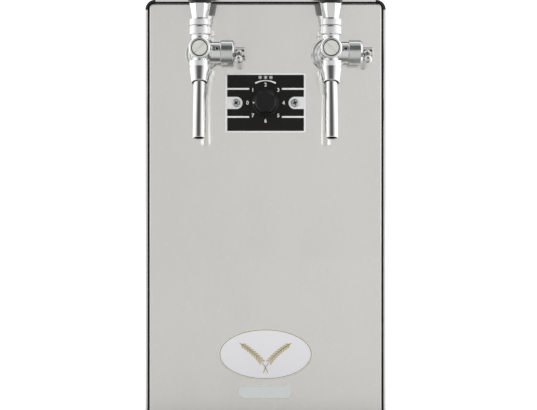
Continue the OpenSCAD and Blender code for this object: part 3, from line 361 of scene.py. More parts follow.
@dataclass(frozen=True)
class PolishedSheet(Finish):
    """Bright annealed stainless sheet: a sharp mirror image inside a soft haze."""

    colour: Colour = (0.95, 0.94, 0.915)
    roughness: float = 0.03
    haze: float = 0.3
    haze_roughness: float = 0.34

    def paint(self, p: Painter) -> None:
        """Faint wiping marks and slow waves that bend what the sheet mirrors.

        Args:
            p: Painter of the material's tree.
        """
        wipe = p.noise((26, 26, 9), 4, 0.6)
        polish = p.noise((1400, 40, 30), 3, 0.6)
        marks = p.noise(60, 3, 0.6).ramp(0.6, 0.75)
        tone = p.mix(wipe.ramp(0.3, 0.8), self.colour, [c * 0.975 for c in self.colour])
        wave = p.bump(p.noise((6, 6, 4), 1), 0.03)
        fine = p.bump(polish, 0.0004, wave)
        rough = self.roughness + wipe.ramp(0.45, 0.8) * 0.02 + marks * 0.01
        mirror = p.shader(base_color=tone, metallic=1.0, roughness=rough, normal=fine)
        hazy = self.haze_roughness + polish * 0.04
        soft = p.shader(base_color=tone, metallic=1.0, roughness=hazy, normal=wave)
        share = self.haze + wipe.ramp(0.4, 0.8) * 0.06 + marks * 0.04
        both = p.node("ShaderNodeMixShader", {}, {0: share, 1: mirror, 2: soft})
        p.finish("ShaderNodeOutputMaterial", both)


@dataclass(frozen=True)
class Chrome(Finish):
    """Polished plating with hairline scratches and dried drops."""

    colour: Colour = (0.90, 0.91, 0.915)
    roughness: float = 0.045
    ripple: float = 0.006
    grooves: float = 0.0

    def paint(self, p: Painter) -> None:
        """Hairlines, drops and a polished casting's slight ripple, or a turned part's fine grooves.

        Args:
            p: Painter of the material's tree.
        """
        hair = p.scratches(2600, (20, 35, 10), 0.1).above(p.scratches(2200, (70, 15, 60), 0.08))
        drops = p.cells(420).ramp(0.16, 0.2, 1.0, 0.0) * p.noise(90, 2).ramp(0.55, 0.65)
        cloud = p.noise(130, 3)
        rough = self.roughness + hair * 0.10 + drops * 0.06 + cloud.ramp(0.4, 0.8) * 0.03
        tone = p.mix(cloud, self.colour, [c * 0.96 for c in self.colour])
        relief = p.bump(p.noise(150, 2), self.ripple)
        if self.grooves > 0:
            relief = p.bump(p.noise((20, 20, 2400), 2), self.grooves, relief)
        p.surface(base_color=tone, metallic=1.0, roughness=rough, normal=relief)


@dataclass(frozen=True)
class TurnedMetal(Finish):
    """Metal with fine tool lines across one axis."""

    colour: Colour = (0.80, 0.80, 0.78)
    roughness: float = 0.3
    lines: Tuple[float, float, float] = (40.0, 40.0, 5000.0)
    depth: float = 0.003
    speck: float = 0.0
    metallic: float = 1.0

    def paint(self, p: Painter) -> None:
        """Tool lines with a few darker specks.

        Args:
            p: Painter of the material's tree.
        """
        tool = p.noise(self.lines, 3, 0.6)
        cloud = p.noise(160, 3)
        dark = [c * (0.9 - self.speck) for c in self.colour]
        tone = p.mix(tool.ramp(0.3, 0.7) * 0.5 + cloud * 0.5, dark, self.colour)
        rough = self.roughness + (tool - 0.5) * 0.15 + cloud.ramp(0.5, 0.8) * 0.08
        relief = p.bump(tool, self.depth)
        p.surface(base_color=tone, metallic=self.metallic, roughness=rough, normal=relief)


@dataclass(frozen=True)
class Moulded(Finish):
    """Moulded plastic or rubber."""

    colour: Colour = (0.02, 0.02, 0.02)
    roughness: float = 0.4
    grain: float = 1800.0
    depth: float = 0.006
    coat: float = 0.0
    rub: float = 0.12
    specular: float = 0.5

    def paint(self, p: Painter) -> None:
        """Mould grain, with rubbed and dusty patches.

        Args:
            p: Painter of the material's tree.
        """
        grain = p.cells(self.grain, "SMOOTH_F1")
        worn = p.noise(55, 4, 0.6).ramp(0.5, 0.75)
        dust = p.noise(400, 2).ramp(0.62, 0.72)
        rubbed = [min(c * 1.5 + 0.004, 1) for c in self.colour]
        tone = p.mix(worn * 0.6 + dust * 0.25, self.colour, rubbed)
        rough = self.roughness - worn * self.rub * 0.5 + dust * self.rub
        coat = {"coat_weight": self.coat, "coat_roughness": 0.06} if self.coat else {}
        relief = p.bump(grain, self.depth)
        p.surface(base_color=tone, roughness=rough, specular=self.specular, normal=relief, **coat)


@dataclass(frozen=True)
class Lacquer(Finish):
    """Printed, pearled or painted surface under a clear coat."""

    colour: Colour = (0.8, 0.8, 0.8)
    second: Colour = (0.75, 0.75, 0.75)
    roughness: float = 0.3
    metallic: float = 0.0
    coat: float = 0.4
    flake: float = 2500.0
    depth: float = 0.004

    def paint(self, p: Painter) -> None:
        """Fine flakes in two tones under the coat, with a light orange peel.

        Args:
            p: Painter of the material's tree.
        """
        flakes = p.cells(self.flake).ramp(0.1, 0.7)
        cloud = p.noise(45, 3)
        tone = p.mix(flakes * 0.6 + cloud * 0.4, self.colour, self.second)
        rough = self.roughness + (cloud - 0.5) * 0.08
        p.surface(base_color=tone, metallic=self.metallic, roughness=rough, coat_weight=self.coat,
                  coat_roughness=0.08, normal=p.bump(p.noise(700, 2), self.depth))


@dataclass(frozen=True)
class RigidFoam(Finish):
    """Insulation foam with open cells and darker, aged patches."""

    colour: Colour = (0.78, 0.68, 0.42)

    def paint(self, p: Painter) -> None:
        """Cells of about a millimetre over cloudy ageing.

        Args:
            p: Painter of the material's tree.
        """
        cell = p.cells(900)
        aged = p.noise(30, 4)
        tone = p.mix(aged.ramp(0.35, 0.7), self.colour, [c * 0.72 for c in self.colour])
        p.surface(base_color=tone, roughness=0.85 + cell * 0.1, normal=p.bump(cell, 0.25))


STEEL_SIDES = SheetSteel("steel_cover_grain_along_depth", (0.5, 0.5, 0.495), hem=-162.0)
STEEL_REAR = SheetSteel("steel_rear_grain_across", (0.5, 0.5, 0.495), 0.3, (9.0, 900.0, 900.0))
STEEL_TRAY = SheetSteel("steel_tray_dull", (0.5, 0.5, 0.5), 0.42, (700.0, 12.0, 700.0))
PANEL = PolishedSheet("steel_bright_panel")
CHROME = Chrome("chrome_castings")
CHROME_TURNED = Chrome("chrome_turned_rings", (0.80, 0.805, 0.81), 0.07, ripple=0.002, grooves=0.03)
CHROME_LEVER = Chrome("chrome_worn_lever", (0.74, 0.73, 0.715), 0.05, ripple=0.05)
CHROME_SATIN = Chrome("chrome_satin_barrel", (0.78, 0.80, 0.79), 0.22, ripple=0.002)
PLUG_FACE = TurnedMetal(
    "satin_nickel_plug", (0.86, 0.86, 0.82), 0.42, (2400.0, 200.0, 2400.0), 0.004, metallic=0.5)
ROSETTE = TurnedMetal("satin_steel_rosette", (0.60, 0.60, 0.585), 0.24, (60.0, 900.0, 60.0), 0.002)
SPOUT_TUBE = TurnedMetal(
    "steel_spout_tube_drawn", (0.90, 0.90, 0.89), 0.07, (1800.0, 1800.0, 25.0), 0.0012)
ZINC = TurnedMetal(
    "zinc_screws", (0.68, 0.69, 0.70), 0.28, (500.0, 500.0, 500.0), 0.004, speck=0.15)
HANDLE_BLACK = Moulded(
    "black_handle_gloss", (0.006, 0.0075, 0.007), 0.14, 900.0, 0.002, rub=0.05, specular=0.4)
KNOB_BLACK = Moulded(
    "black_knob_satin", (0.0055, 0.0055, 0.006), 0.3, 2600.0, 0.004, rub=0.06, specular=0.28)
TRIM_BLACK = Moulded("black_corner_trim", (0.008, 0.008, 0.009), 0.22, 1500.0, 0.003, coat=0.3)
GRIP_BLACK = Moulded("black_grained_plastic", (0.022, 0.022, 0.023), 0.45, 1500.0, 0.03)
# Black rubber of the real seals; the same black also fills gaps, recesses and pits as painted
# shade.
BLACK_SEAL_AND_PAINTED_SHADE = Moulded("black_seal_rubber_and_painted_shade", (0.012, 0.012, 0.012), 0.65, 1200.0, 0.02)
FOOT_RUBBER = Moulded("black_foot_rubber", (0.018, 0.018, 0.018), 0.75, 1100.0, 0.05)
DIAL_FACE = Moulded(
    "black_dial_print", (0.0070, 0.0066, 0.0058), 0.42, 3200.0, 0.002, rub=0.05, specular=0.25)
PRINT_WHITE = Moulded("white_print_ink", (0.95, 0.95, 0.94), 0.5, 3000.0, 0.001)
PRINT_GREY = Moulded("pale_grey_print_ink", (0.86, 0.875, 0.875), 0.45, 3000.0, 0.001)
PEARL = Lacquer("pearl_badge_field", (0.90, 0.89, 0.93), (0.95, 0.94, 0.97), 0.35, coat=0.5)
GOLD_LINE = Lacquer("old_gold_print", (0.56, 0.46, 0.22), (0.66, 0.56, 0.31), 0.32, 0.2, coat=0.3)
BROWN_LINE = Lacquer("bronze_rim_line", (0.17, 0.15, 0.09), (0.22, 0.19, 0.12), 0.3, 0.3, coat=0.3)
CREAM_RIM = Lacquer("cream_badge_rim", (0.86, 0.84, 0.70), (0.82, 0.80, 0.67), 0.4, coat=0.3)
SILVER = Lacquer("silver_badge_satin", (0.75, 0.785, 0.775), (0.81, 0.845, 0.835), 0.42, coat=0.4)
ENAMEL = Lacquer(
    "black_compressor_enamel", (0.012, 0.012, 0.013), (0.03, 0.03, 0.032), 0.3,
    coat=0.6, flake=900.0, depth=0.05)
ACETAL_GREY = Moulded("grey_acetal", (0.46, 0.47, 0.48), 0.35, 2000.0, 0.004)
ACETAL_WHITE = Moulded("white_acetal", (0.8, 0.8, 0.78), 0.4, 2000.0, 0.003)
ACETAL_BLACK = Moulded("black_acetal", (0.02, 0.02, 0.021), 0.3, 2000.0, 0.004)
COPPER = TurnedMetal(
    "copper_tube", (0.72, 0.36, 0.22), 0.26, (300.0, 300.0, 300.0), 0.004, speck=0.25)
BRASS = TurnedMetal("brass_pins", (0.76, 0.60, 0.32), 0.25, (900.0, 60.0, 900.0), 0.002)
CAST_ALUMINIUM = TurnedMetal(
    "cast_aluminium", (0.66, 0.67, 0.68), 0.5, (500.0, 500.0, 500.0), 0.02, speck=0.1)
FIN_ALUMINIUM = TurnedMetal("fin_aluminium", (0.74, 0.75, 0.76), 0.36, (60.0, 900.0, 60.0), 0.004)
FOAM = RigidFoam("insulation_foam")


# ---- Forms


def eased(corners: Sequence[Corner], steps: int = 6) -> List[Flat]:
    """Line of points whose corners are rounded.

    Args:
        corners: Each corner's two coordinates and its radius.
        steps: Points on each rounded corner, less one.

    Returns:
        The rounded line of points.
    """
    line: List[Flat] = []
    last = len(corners) - 1
    for i, (a, b, radius) in enumerate(corners):
        if radius <= 0 or i in (0, last):
            line.append((a, b))
            continue
        here = np.array((a, b))
        back, ahead = (np.array(corners[k][:2]) - here for k in (i - 1, i + 1))
        back = back / np.linalg.norm(back)
        ahead = ahead / np.linalg.norm(ahead)
        half = math.acos(float(np.clip(back @ ahead, -1, 1))) / 2
        centre = here + (back + ahead) / np.linalg.norm(back + ahead) * (radius / math.sin(half))
        start = here + back * (radius / math.tan(half)) - centre
        end = here + ahead * (radius / math.tan(half)) - centre
        sweep = math.pi - 2 * half
        for k in range(steps + 1):
            t = k / steps
            first, second = math.sin((1 - t) * sweep), math.sin(t * sweep)
            line.append(tuple(centre + (start * first + end * second) / math.sin(sweep)))
    return line


def circle(radius: float, count: int) -> np.ndarray:
    """Points of a circle, counter-clockwise."""
    turn = np.arange(count) * 2 * math.pi / count
    return np.stack([np.cos(turn) * radius, np.sin(turn) * radius], 1)


def oval(width: float, height: float, count: int = 128) -> np.ndarray:
    """Points of an ellipse, counter-clockwise."""
    return circle(0.5, count) * (width, height)


def rounded(width: float, height: float, radius: float, steps: int = 8) -> np.ndarray:
    """Points of a rectangle with round corners.

    Args:
        width: Its width.
        height: Its height.
        radius: Radius of its corners.
        steps: Points on each corner, less one.

    Returns:
        The outline, counter-clockwise.
    """
    radius = max(min(radius, width / 2 - TINY, height / 2 - TINY), TINY)
    turn = np.linspace(0, math.pi / 2, steps + 1)
    parts = []
    for k, (sx, sy) in enumerate(((1, 1), (-1, 1), (-1, -1), (1, -1))):
        around = turn + k * math.pi / 2
        middle = np.array((sx * (width / 2 - radius), sy * (height / 2 - radius)))
        parts.append(middle + radius * np.stack([np.cos(around), np.sin(around)], 1))
    return np.concatenate(parts)


def faceted(sides: int, across: float, radius: float, steps: int = 4) -> np.ndarray:
    """Points of a regular polygon with a flat side to +Y and round corners.

    Args:
        sides: Number of sides.
        across: Distance between opposite flats.
        radius: Radius of its corners.
        steps: Points on each corner, less one.

    Returns:
        The outline, counter-clockwise.
    """
    inner = (across / 2 - radius) / math.cos(math.pi / sides)
    parts = []
    for k in range(sides):
        middle = math.pi / 2 + (k - 0.5) * 2 * math.pi / sides
        around = middle + np.linspace(-0.5, 0.5, steps + 1) * 2 * math.pi / sides
        corner = inner * np.array((math.cos(middle), math.sin(middle)))
        parts.append(corner + radius * np.stack([np.cos(around), np.sin(around)], 1))
    return np.concatenate(parts)


def plate(width: float, height: float, corner: float,
          steps: int = 8) -> Callable[[float], np.ndarray]:
    """Round-cornered outline as a function of its inset."""
    return lambda i: rounded(width - 2 * i, height - 2 * i, max(corner - i, LEAST_CORNER), steps)


def headings(points: np.ndarray) -> np.ndarray:
    """Unit directions along a line of points."""
    ahead = np.gradient(points, axis=0)
    return ahead / np.linalg.norm(ahead, axis=1)[:, None]


def lift(outline: np.ndarray, height: float) -> np.ndarray:
    """An outline raised to a height."""
    return np.concatenate([outline, np.full((len(outline), 1), height)], 1)


def slab(outline: Callable[[float], np.ndarray], low: float, high: float, ease: float,
         steps: int = 5) -> Rings:
    """Rings of a plate with a rounded upper edge.

    Args:
        outline: Gives the outline for an inset.
        low: Height of the underside.
        high: Height of the top.
        ease: Radius of the upper edge.
        steps: Rings on the rounded edge, less one.

    Returns:
        The rings from the underside to the top.
    """
    rings = [lift(outline(0.0), low)]
    for k in range(steps + 1):
        turn = k / steps * math.pi / 2
        rings.append(lift(outline(ease * (1 - math.cos(turn))), high - ease * (1 - math.sin(turn))))
    return rings


def placed(name: str, data: bpy.types.ID) -> bpy.types.Object:
    """New object in the scene.

    Args:
        name: The object's name.
        data: Its mesh, curve, light or camera.

    Returns:
        The object.
    """
    made = bpy.data.objects.new(name, data)
    bpy.context.scene.collection.objects.link(made)
    return made


class Form:
    """Mesh that grows by lofts and castings, in millimetres."""

    def __init__(self) -> None:
        """Starts empty."""
        self.points: List[np.ndarray] = []
        self.normals: List[np.ndarray] = []
        self.faces: List[Tuple[int, ...]] = []
        self.count = 0

    def add(self, points: np.ndarray, faces: Sequence[Sequence[int]], placing: Matrix,
            normals: Optional[np.ndarray] = None) -> "Form":
        """Adds points and faces.

        Args:
            points: Points in the piece's own axes.
            faces: Indices into the points.
            placing: Where the piece goes.
            normals: Known normals of the points.

        Returns:
            The form itself.
        """
        turn = np.array(placing.to_3x3())
        self.points.append(points @ turn.T + np.array(placing.translation))
        self.normals.append(np.zeros_like(points) if normals is None else normals @ turn.T)
        self.faces.extend(tuple(int(i) + self.count for i in f) for f in faces)
        self.count += len(points)
        return self

    def loft(self, rings: Rings, placing: Matrix = Matrix(), caps: Tuple[bool, bool] = (True, True),
             loop: bool = False) -> "Form":
        """Joins rings of equal length by a skin.

        Args:
            rings: Rings of points, counter-clockwise seen from the loft's end.
            placing: Where the piece goes.
            caps: Whether the first and the last ring are closed.
            loop: Whether the last ring joins the first.

        Returns:
            The form itself.
        """
        count = len(rings[0])
        faces: List[Tuple[int, ...]] = []
        pairs = len(rings) if loop else len(rings) - 1
        for r in range(pairs):
            a, b = r * count, ((r + 1) % len(rings)) * count
            for i in range(count):
                j = (i + 1) % count
                faces.append((a + i, a + j, b + j, b + i))
        if caps[0] and not loop:
            faces.append(tuple(reversed(range(count))))
        if caps[1] and not loop:
            faces.append(tuple(range((len(rings) - 1) * count, len(rings) * count)))
        return self.add(np.concatenate(rings), faces, placing)

    def turned(self, profile: Sequence[Flat], placing: Matrix, count: int = 96,
               loop: bool = False) -> "Form":
        """Body of revolution from a profile of radius and height; a looped profile makes a ring."""
        rings = [lift(circle(max(r, POLE_R), count), h) for r, h in profile]
        return self.loft(rings, placing, loop=loop)

    def object(self, name: str) -> bpy.types.Object:
        """Makes the mesh object.

        Args:
            name: The object's name.

        Returns:
            The object, in metres and with smooth shading between its edges.
        """
        mesh = bpy.data.meshes.new(name)
        mesh.from_pydata((np.concatenate(self.points) * MM).tolist(), [], self.faces)
        mesh.validate()
        mesh.polygons.foreach_set("use_smooth", [True] * len(mesh.polygons))
        made = placed(name, mesh)
        known = np.concatenate(self.normals)
        if np.abs(known).sum(1).min() > 0:
            mesh.normals_split_custom_set_from_vertices(known.tolist())
        else:
            mesh.set_sharp_from_angle(angle=SHARP)
            made.modifiers.new("weighted normals", "WEIGHTED_NORMAL").keep_sharp = True
        return made


class Solid:
    """Shape given by the distance to its surface, negative inside."""

    # Passes that pull the skin's points onto the surface.
    settling = 4

    def __init__(self, distance: Callable[[np.ndarray], np.ndarray]) -> None:
        """Keeps the distance function."""
        self.distance = distance

    def joined(self, other: "Solid", ease: float) -> "Solid":
        """Both solids with a fillet of about the given radius between them."""
        return Solid(lambda p: Solid._soft_least(self.distance(p), other.distance(p), ease))

    def cut(self, other: "Solid", ease: float) -> "Solid":
        """The solid without another, with eased edges."""
        return Solid(lambda p: -Solid._soft_least(-self.distance(p), other.distance(p), ease))

    def within(self, other: "Solid", ease: float) -> "Solid":
        """What both solids share, with eased edges."""
        return Solid(lambda p: -Solid._soft_least(-self.distance(p), -other.distance(p), ease))

    @staticmethod
    def _soft_least(a: np.ndarray, b: np.ndarray, ease: float) -> np.ndarray:
        """Smaller of two distances, blended where they are alike."""
        share = np.clip(0.5 + 0.5 * (b - a) / ease, 0, 1)
        return b + (a - b) * share - ease * share * (1 - share)

    @staticmethod
    def rod(start: Sequence[float], end: Sequence[float], low: float, high: Optional[float] = None,
            ease: float = 0.4) -> "Solid":
        """Straight or tapered rod.

        Args:
            start: Middle of one end.
            end: Middle of the other end.
            low: Radius at the start.
            high: Radius at the end, where it differs.
            ease: Radius of its edges.

        Returns:
            The rod.
        """
        a, b = np.array(start, float), np.array(end, float)
        length = float(np.linalg.norm(b - a))
        ahead = (b - a) / length
        tip = low if high is None else high
        lean = math.cos(math.atan2(abs(tip - low), length))

        def distance(p: np.ndarray) -> np.ndarray:
            """Distance to the rod's rounded hull.

            Args:
                p: Points.

            Returns:
                Their distances.
            """
            rel = p - a
            h = rel @ ahead
            out = np.sqrt(np.maximum((rel * rel).sum(-1) - h * h, 1e-12))
            side = (out - (low + (tip - low) * np.clip(h / length, 0, 1))) * lean + ease
            over = np.abs(h - length / 2) - length / 2 + ease
            inner = np.minimum(np.maximum(side, over), 0)
            return inner + np.hypot(np.maximum(side, 0), np.maximum(over, 0)) - ease

        return Solid(distance)

    @staticmethod
    def ball(middle: Sequence[float], radius: float) -> "Solid":
        """Ball round a point."""
        centre = np.array(middle, float)
        return Solid(lambda p: np.linalg.norm(p - centre, axis=-1) - radius)

    @staticmethod
    def block(low: Sequence[float], high: Sequence[float], placing: Matrix = Matrix()) -> "Solid":
        """Straight block in the axes of a placement.

        Args:
            low: Its lowest corner.
            high: Its highest corner.
            placing: The placement.

        Returns:
            The block.
        """
        middle = (np.array(low, float) + np.array(high, float)) / 2
        half = (np.array(high, float) - np.array(low, float)) / 2
        turn, shift = np.array(placing.to_3x3()), np.array(placing.translation)

        def distance(p: np.ndarray) -> np.ndarray:
            """Distances of points to the block's faces."""
            q = np.abs((p - shift) @ turn - middle) - half
            return np.linalg.norm(np.maximum(q, 0), axis=-1) + np.minimum(q.max(-1), 0)

        return Solid(distance)

    def mesh(self, low: Sequence[float], high: Sequence[float],
             step: float) -> Tuple[np.ndarray, List[List[int]], np.ndarray]:
        """Skins the solid.

        Args:
            low: Lowest corner of the space that holds it.
            high: Highest corner of that space.
            step: Spacing of the grid.

        Returns:
            The points on the surface, the faces between them and the surface's normals there.
        """
        axes = [np.arange(a - 2 * step, b + 3 * step, step) for a, b in zip(low, high)]
        grid = np.stack(np.meshgrid(*axes, indexing="ij"), -1)
        value = self.distance(grid)
        inside = value < 0
        shape = tuple(n - 1 for n in inside.shape)
        total = np.zeros((*shape, 3))
        hits = np.zeros(shape, int)
        crossings = []
        for axis in range(3):
            near = [slice(None)] * 3
            far = [slice(None)] * 3
            near[axis], far[axis] = slice(0, -1), slice(1, None)
            v0, v1 = value[tuple(near)], value[tuple(far)]
            crossed = inside[tuple(near)] != inside[tuple(far)]
            crossings.append(crossed)
            share = np.where(crossed, v0 / np.where(crossed, v0 - v1, 1), 0)
            point = grid[tuple(near)].copy()
            point[..., axis] += share * step
            others = [a for a in range(3) if a != axis]
            for u in (0, 1):
                for w in (0, 1):
                    pick = [slice(None)] * 3
                    pick[others[0]] = slice(u, u + shape[others[0]])
                    pick[others[1]] = slice(w, w + shape[others[1]])
                    hit = crossed[tuple(pick)]
                    total += point[tuple(pick)] * hit[..., None]
                    hits += hit
        used = hits > 0
        index = np.full(shape, -1)
        index[used] = np.arange(int(used.sum()))
        points = total[used] / hits[used][:, None]
        faces = []
        for axis in range(3):
            u, w = (axis + 1) % 3, (axis + 2) % 3
            for at in np.argwhere(crossings[axis]):
                if at[u] == 0 or at[w] == 0:
                    continue
                corners = []
                for du, dw in ((-1, -1), (0, -1), (0, 0), (-1, 0)):
                    cell = at.copy()
                    cell[u] += du
                    cell[w] += dw
                    corners.append(index[tuple(cell)])
                faces.append(corners if inside[tuple(at)] else corners[::-1])
        for _ in range(self.settling):
            slope = self.slope(points)
            reach = np.clip(self.distance(points), -step, step)
            points = points - slope * (reach / np.maximum((slope * slope).sum(1), 0.2))[:, None]
        slope = self.slope(points)
        return points, faces, slope / np.maximum(np.linalg.norm(slope, axis=1), 1e-9)[:, None]

    def slope(self, points: np.ndarray, reach: float = 0.02) -> np.ndarray:
        """Direction in which the distance grows fastest.

        Args:
            points: Where it is taken.
            reach: Half of the span that it is taken over.

        Returns:
            The distance's slope along each axis.
        """
        parts = []
        for axis in range(3):
            shift = np.zeros(3)
            shift[axis] = reach
            growth = self.distance(points + shift) - self.distance(points - shift)
            parts.append(growth / (2 * reach))
        return np.stack(parts, -1)


def fit(piece: bpy.types.Object, finish: Finish, body: str, slot: str, *nodes: str) -> None:
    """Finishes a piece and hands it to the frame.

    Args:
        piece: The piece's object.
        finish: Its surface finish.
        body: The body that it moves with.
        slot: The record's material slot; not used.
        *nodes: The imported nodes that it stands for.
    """
    piece.data.materials.append(finish.material())
    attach(piece, body)
    if nodes:
        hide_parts(*nodes)
    log.info("%s on %s", piece.name, body)


def dress(finish: Finish, *nodes: str, ease: float = 0.3) -> None:
    """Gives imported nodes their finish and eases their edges.

    Args:
        finish: The surface finish.
        *nodes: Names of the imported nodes.
        ease: Radius of the eased edges, or 0 for plain ones.
    """
    for name in nodes:
        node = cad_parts[name]
        node.data.materials.clear()
        node.data.materials.append(finish.material())
        node.modifiers.new("weld", "WELD").merge_threshold = WELD_REACH
        if ease > 0:
            edge = node.modifiers.new("eased edges", "BEVEL")
            edge.width = ease * MM
            edge.segments = EASED_STEPS
            edge.limit_method = "ANGLE"
            edge.angle_limit = EASED_FROM
            edge.harden_normals = False
            node.modifiers.new("weighted normals", "WEIGHTED_NORMAL").keep_sharp = True
        log.info("%s dressed in %s", name, finish.name)


# ---- The dispenser


def cross_head_screws(name: str, places: Sequence[Matrix], across: float, rise: float) -> None:
    """Pan-head screws, each with a cross recess darkened by black bars as painted shade, in place
    of the node of that name.

    Args:
        name: The screws' node, less its last letter.
        places: Where the undersides of the heads are.
        across: Diameter of a head.
        rise: Height of a head.
    """
    r, skirt = across / 2, 0.4
    head = Solid.rod((0, 0, -skirt), (0, 0, rise), r, ease=rise * 0.55)
    bar = rounded(across * 0.53, across * 0.13, across * 0.02, 2)
    bars = []
    # The second bar's bottom lies a hair higher, so that the two don't coincide.
    for turn in (0, 90):
        arm = spin(turn)
        groove = Solid.block((-r * 0.56, -r * 0.15, rise * 0.3),
                             (r * 0.56, r * 0.15, rise + 1), arm)
        head = head.cut(groove, 0.2)
        bars.append((arm, rise * (0.42 + turn / 9000)))
    points, faces, normals = head.mesh((-r, -r, -skirt), (r, r, rise), across / 44)
    heads, recess_shade = Form(), Form()
    for placing in places:
        heads.add(points, faces, placing, normals)
        for arm, top in bars:
            # Black bars down in each cross recess: painted shade.
            recess_shade.loft([lift(bar, rise * 0.2), lift(bar, top)], placing @ arm)
    fit(heads.object(f"{name}_heads"), ZINC, "casing", "chrome", f"{name}s")
    fit(recess_shade.object(f"{name}_recesses"), BLACK_SEAL_AND_PAINTED_SHADE, "casing", "chrome")


@dataclass
class Casing:
    """Cover, panels, tray, grips and feet."""

    width: float = 240.0
    panel_width: float = 232.5
    panel_low: float = 18.0
    panel_high: float = 451.4
    panel_corner: float = 4.5
    panel_fold: float = 12.0
    panel_ease: float = 1.9
    base: float = 15.0
    foot_d: float = 34.0
    foot_bore: float = 5.5
    feet: Tuple[Flat, ...] = ((-90.0, -125.6), (-90.0, 187.8), (90.0, -125.6), (90.0, 187.8))
    screw_head: float = 7.5
    screw_rise: float = 2.2
    rear_screw_inset: float = 11.2
    rear_screw_heights: Tuple[float, ...] = (27.0, 235.0, 441.0)
    side_screw_depths: Tuple[float, ...] = (-102.2, 162.8)
    side_screw_height: float = 24.0
    foot_screw_height: float = 10.0

    def build(self) -> None:
        """Builds and dresses every piece of the casing."""
        self.sheets()
        self.panel()
        self.screws()
        self.foot_pads()

    def sheets(self) -> None:
        """Dresses the folded sheets, trims and grips."""
        dress(STEEL_SIDES, "outer_cover", ease=0.3)
        dress(STEEL_REAR, "rear_panel", ease=0.0)
        dress(STEEL_TRAY, "base_tray", ease=0.3)
        dress(TRIM_BLACK, "corner_trims", ease=0.6)
        dress(BLACK_SEAL_AND_PAINTED_SHADE, "front_seal", ease=0.0)
        dress(GRIP_BLACK, "hand_grips", ease=0.7)

    def panel(self) -> None:
        """Front panel with a rounded fold along its edges."""
        outline = plate(self.panel_width, self.panel_high - self.panel_low, self.panel_corner)
        placing = Facing.FRONT.at(0, PANEL_FACE, (self.panel_low + self.panel_high) / 2)
        sheet = Form().loft(slab(outline, -self.panel_fold, 0.0, self.panel_ease, 8), placing)
        fit(sheet.object("front_panel_sheet"), PANEL, "casing", "polished_steel", "front_panel")

    def screws(self) -> None:
        """Cross-head screws of the rear panel, the side walls and the feet."""
        half = self.width / 2
        places = [Facing.REAR.at(side * (half - self.rear_screw_inset), REAR_FACE, z)
                  for side in (-1, 1) for z in self.rear_screw_heights]
        for facing, x in ((Facing.RIGHT, half), (Facing.LEFT, -half)):
            places += [facing.at(x, y, self.side_screw_height) for y in self.side_screw_depths]
        places += [Facing.DOWN.at(x, y, self.foot_screw_height) for x, y in self.feet]
        cross_head_screws("casing_screw", places, self.screw_head, self.screw_rise)

    def foot_pads(self) -> None:
        """Rubber feet with two grip rings and a recess for the screw."""
        r, bore, top = self.foot_d / 2, self.foot_bore, self.base - 0.02
        profile = eased([
            (bore, 10.0, 0), (bore, 0.0, 0.5), (r - 7.5, 0.0, 0.4), (r - 7.2, 0.9, 0.3),
            (r - 6.0, 0.9, 0.3), (r - 5.7, 0.0, 0.4), (r - 3.3, 0.0, 0.8), (r - 1.9, 5.0, 0.4),
            (r - 2.4, 5.6, 0.3), (r - 1.9, 6.4, 0.4), (r - 0.1, self.base - 2.5, 0.6),
            (r - 0.1, top, 0.2), (bore, top, 0),
        ], 4)
        feet = Form()
        for x, y in self.feet:
            feet.turned(profile, Facing.UP.at(x, y, 0.0), 72, loop=True)
        fit(feet.object("foot_pads"), FOOT_RUBBER, "casing", "black_rubber", "rubber_feet")


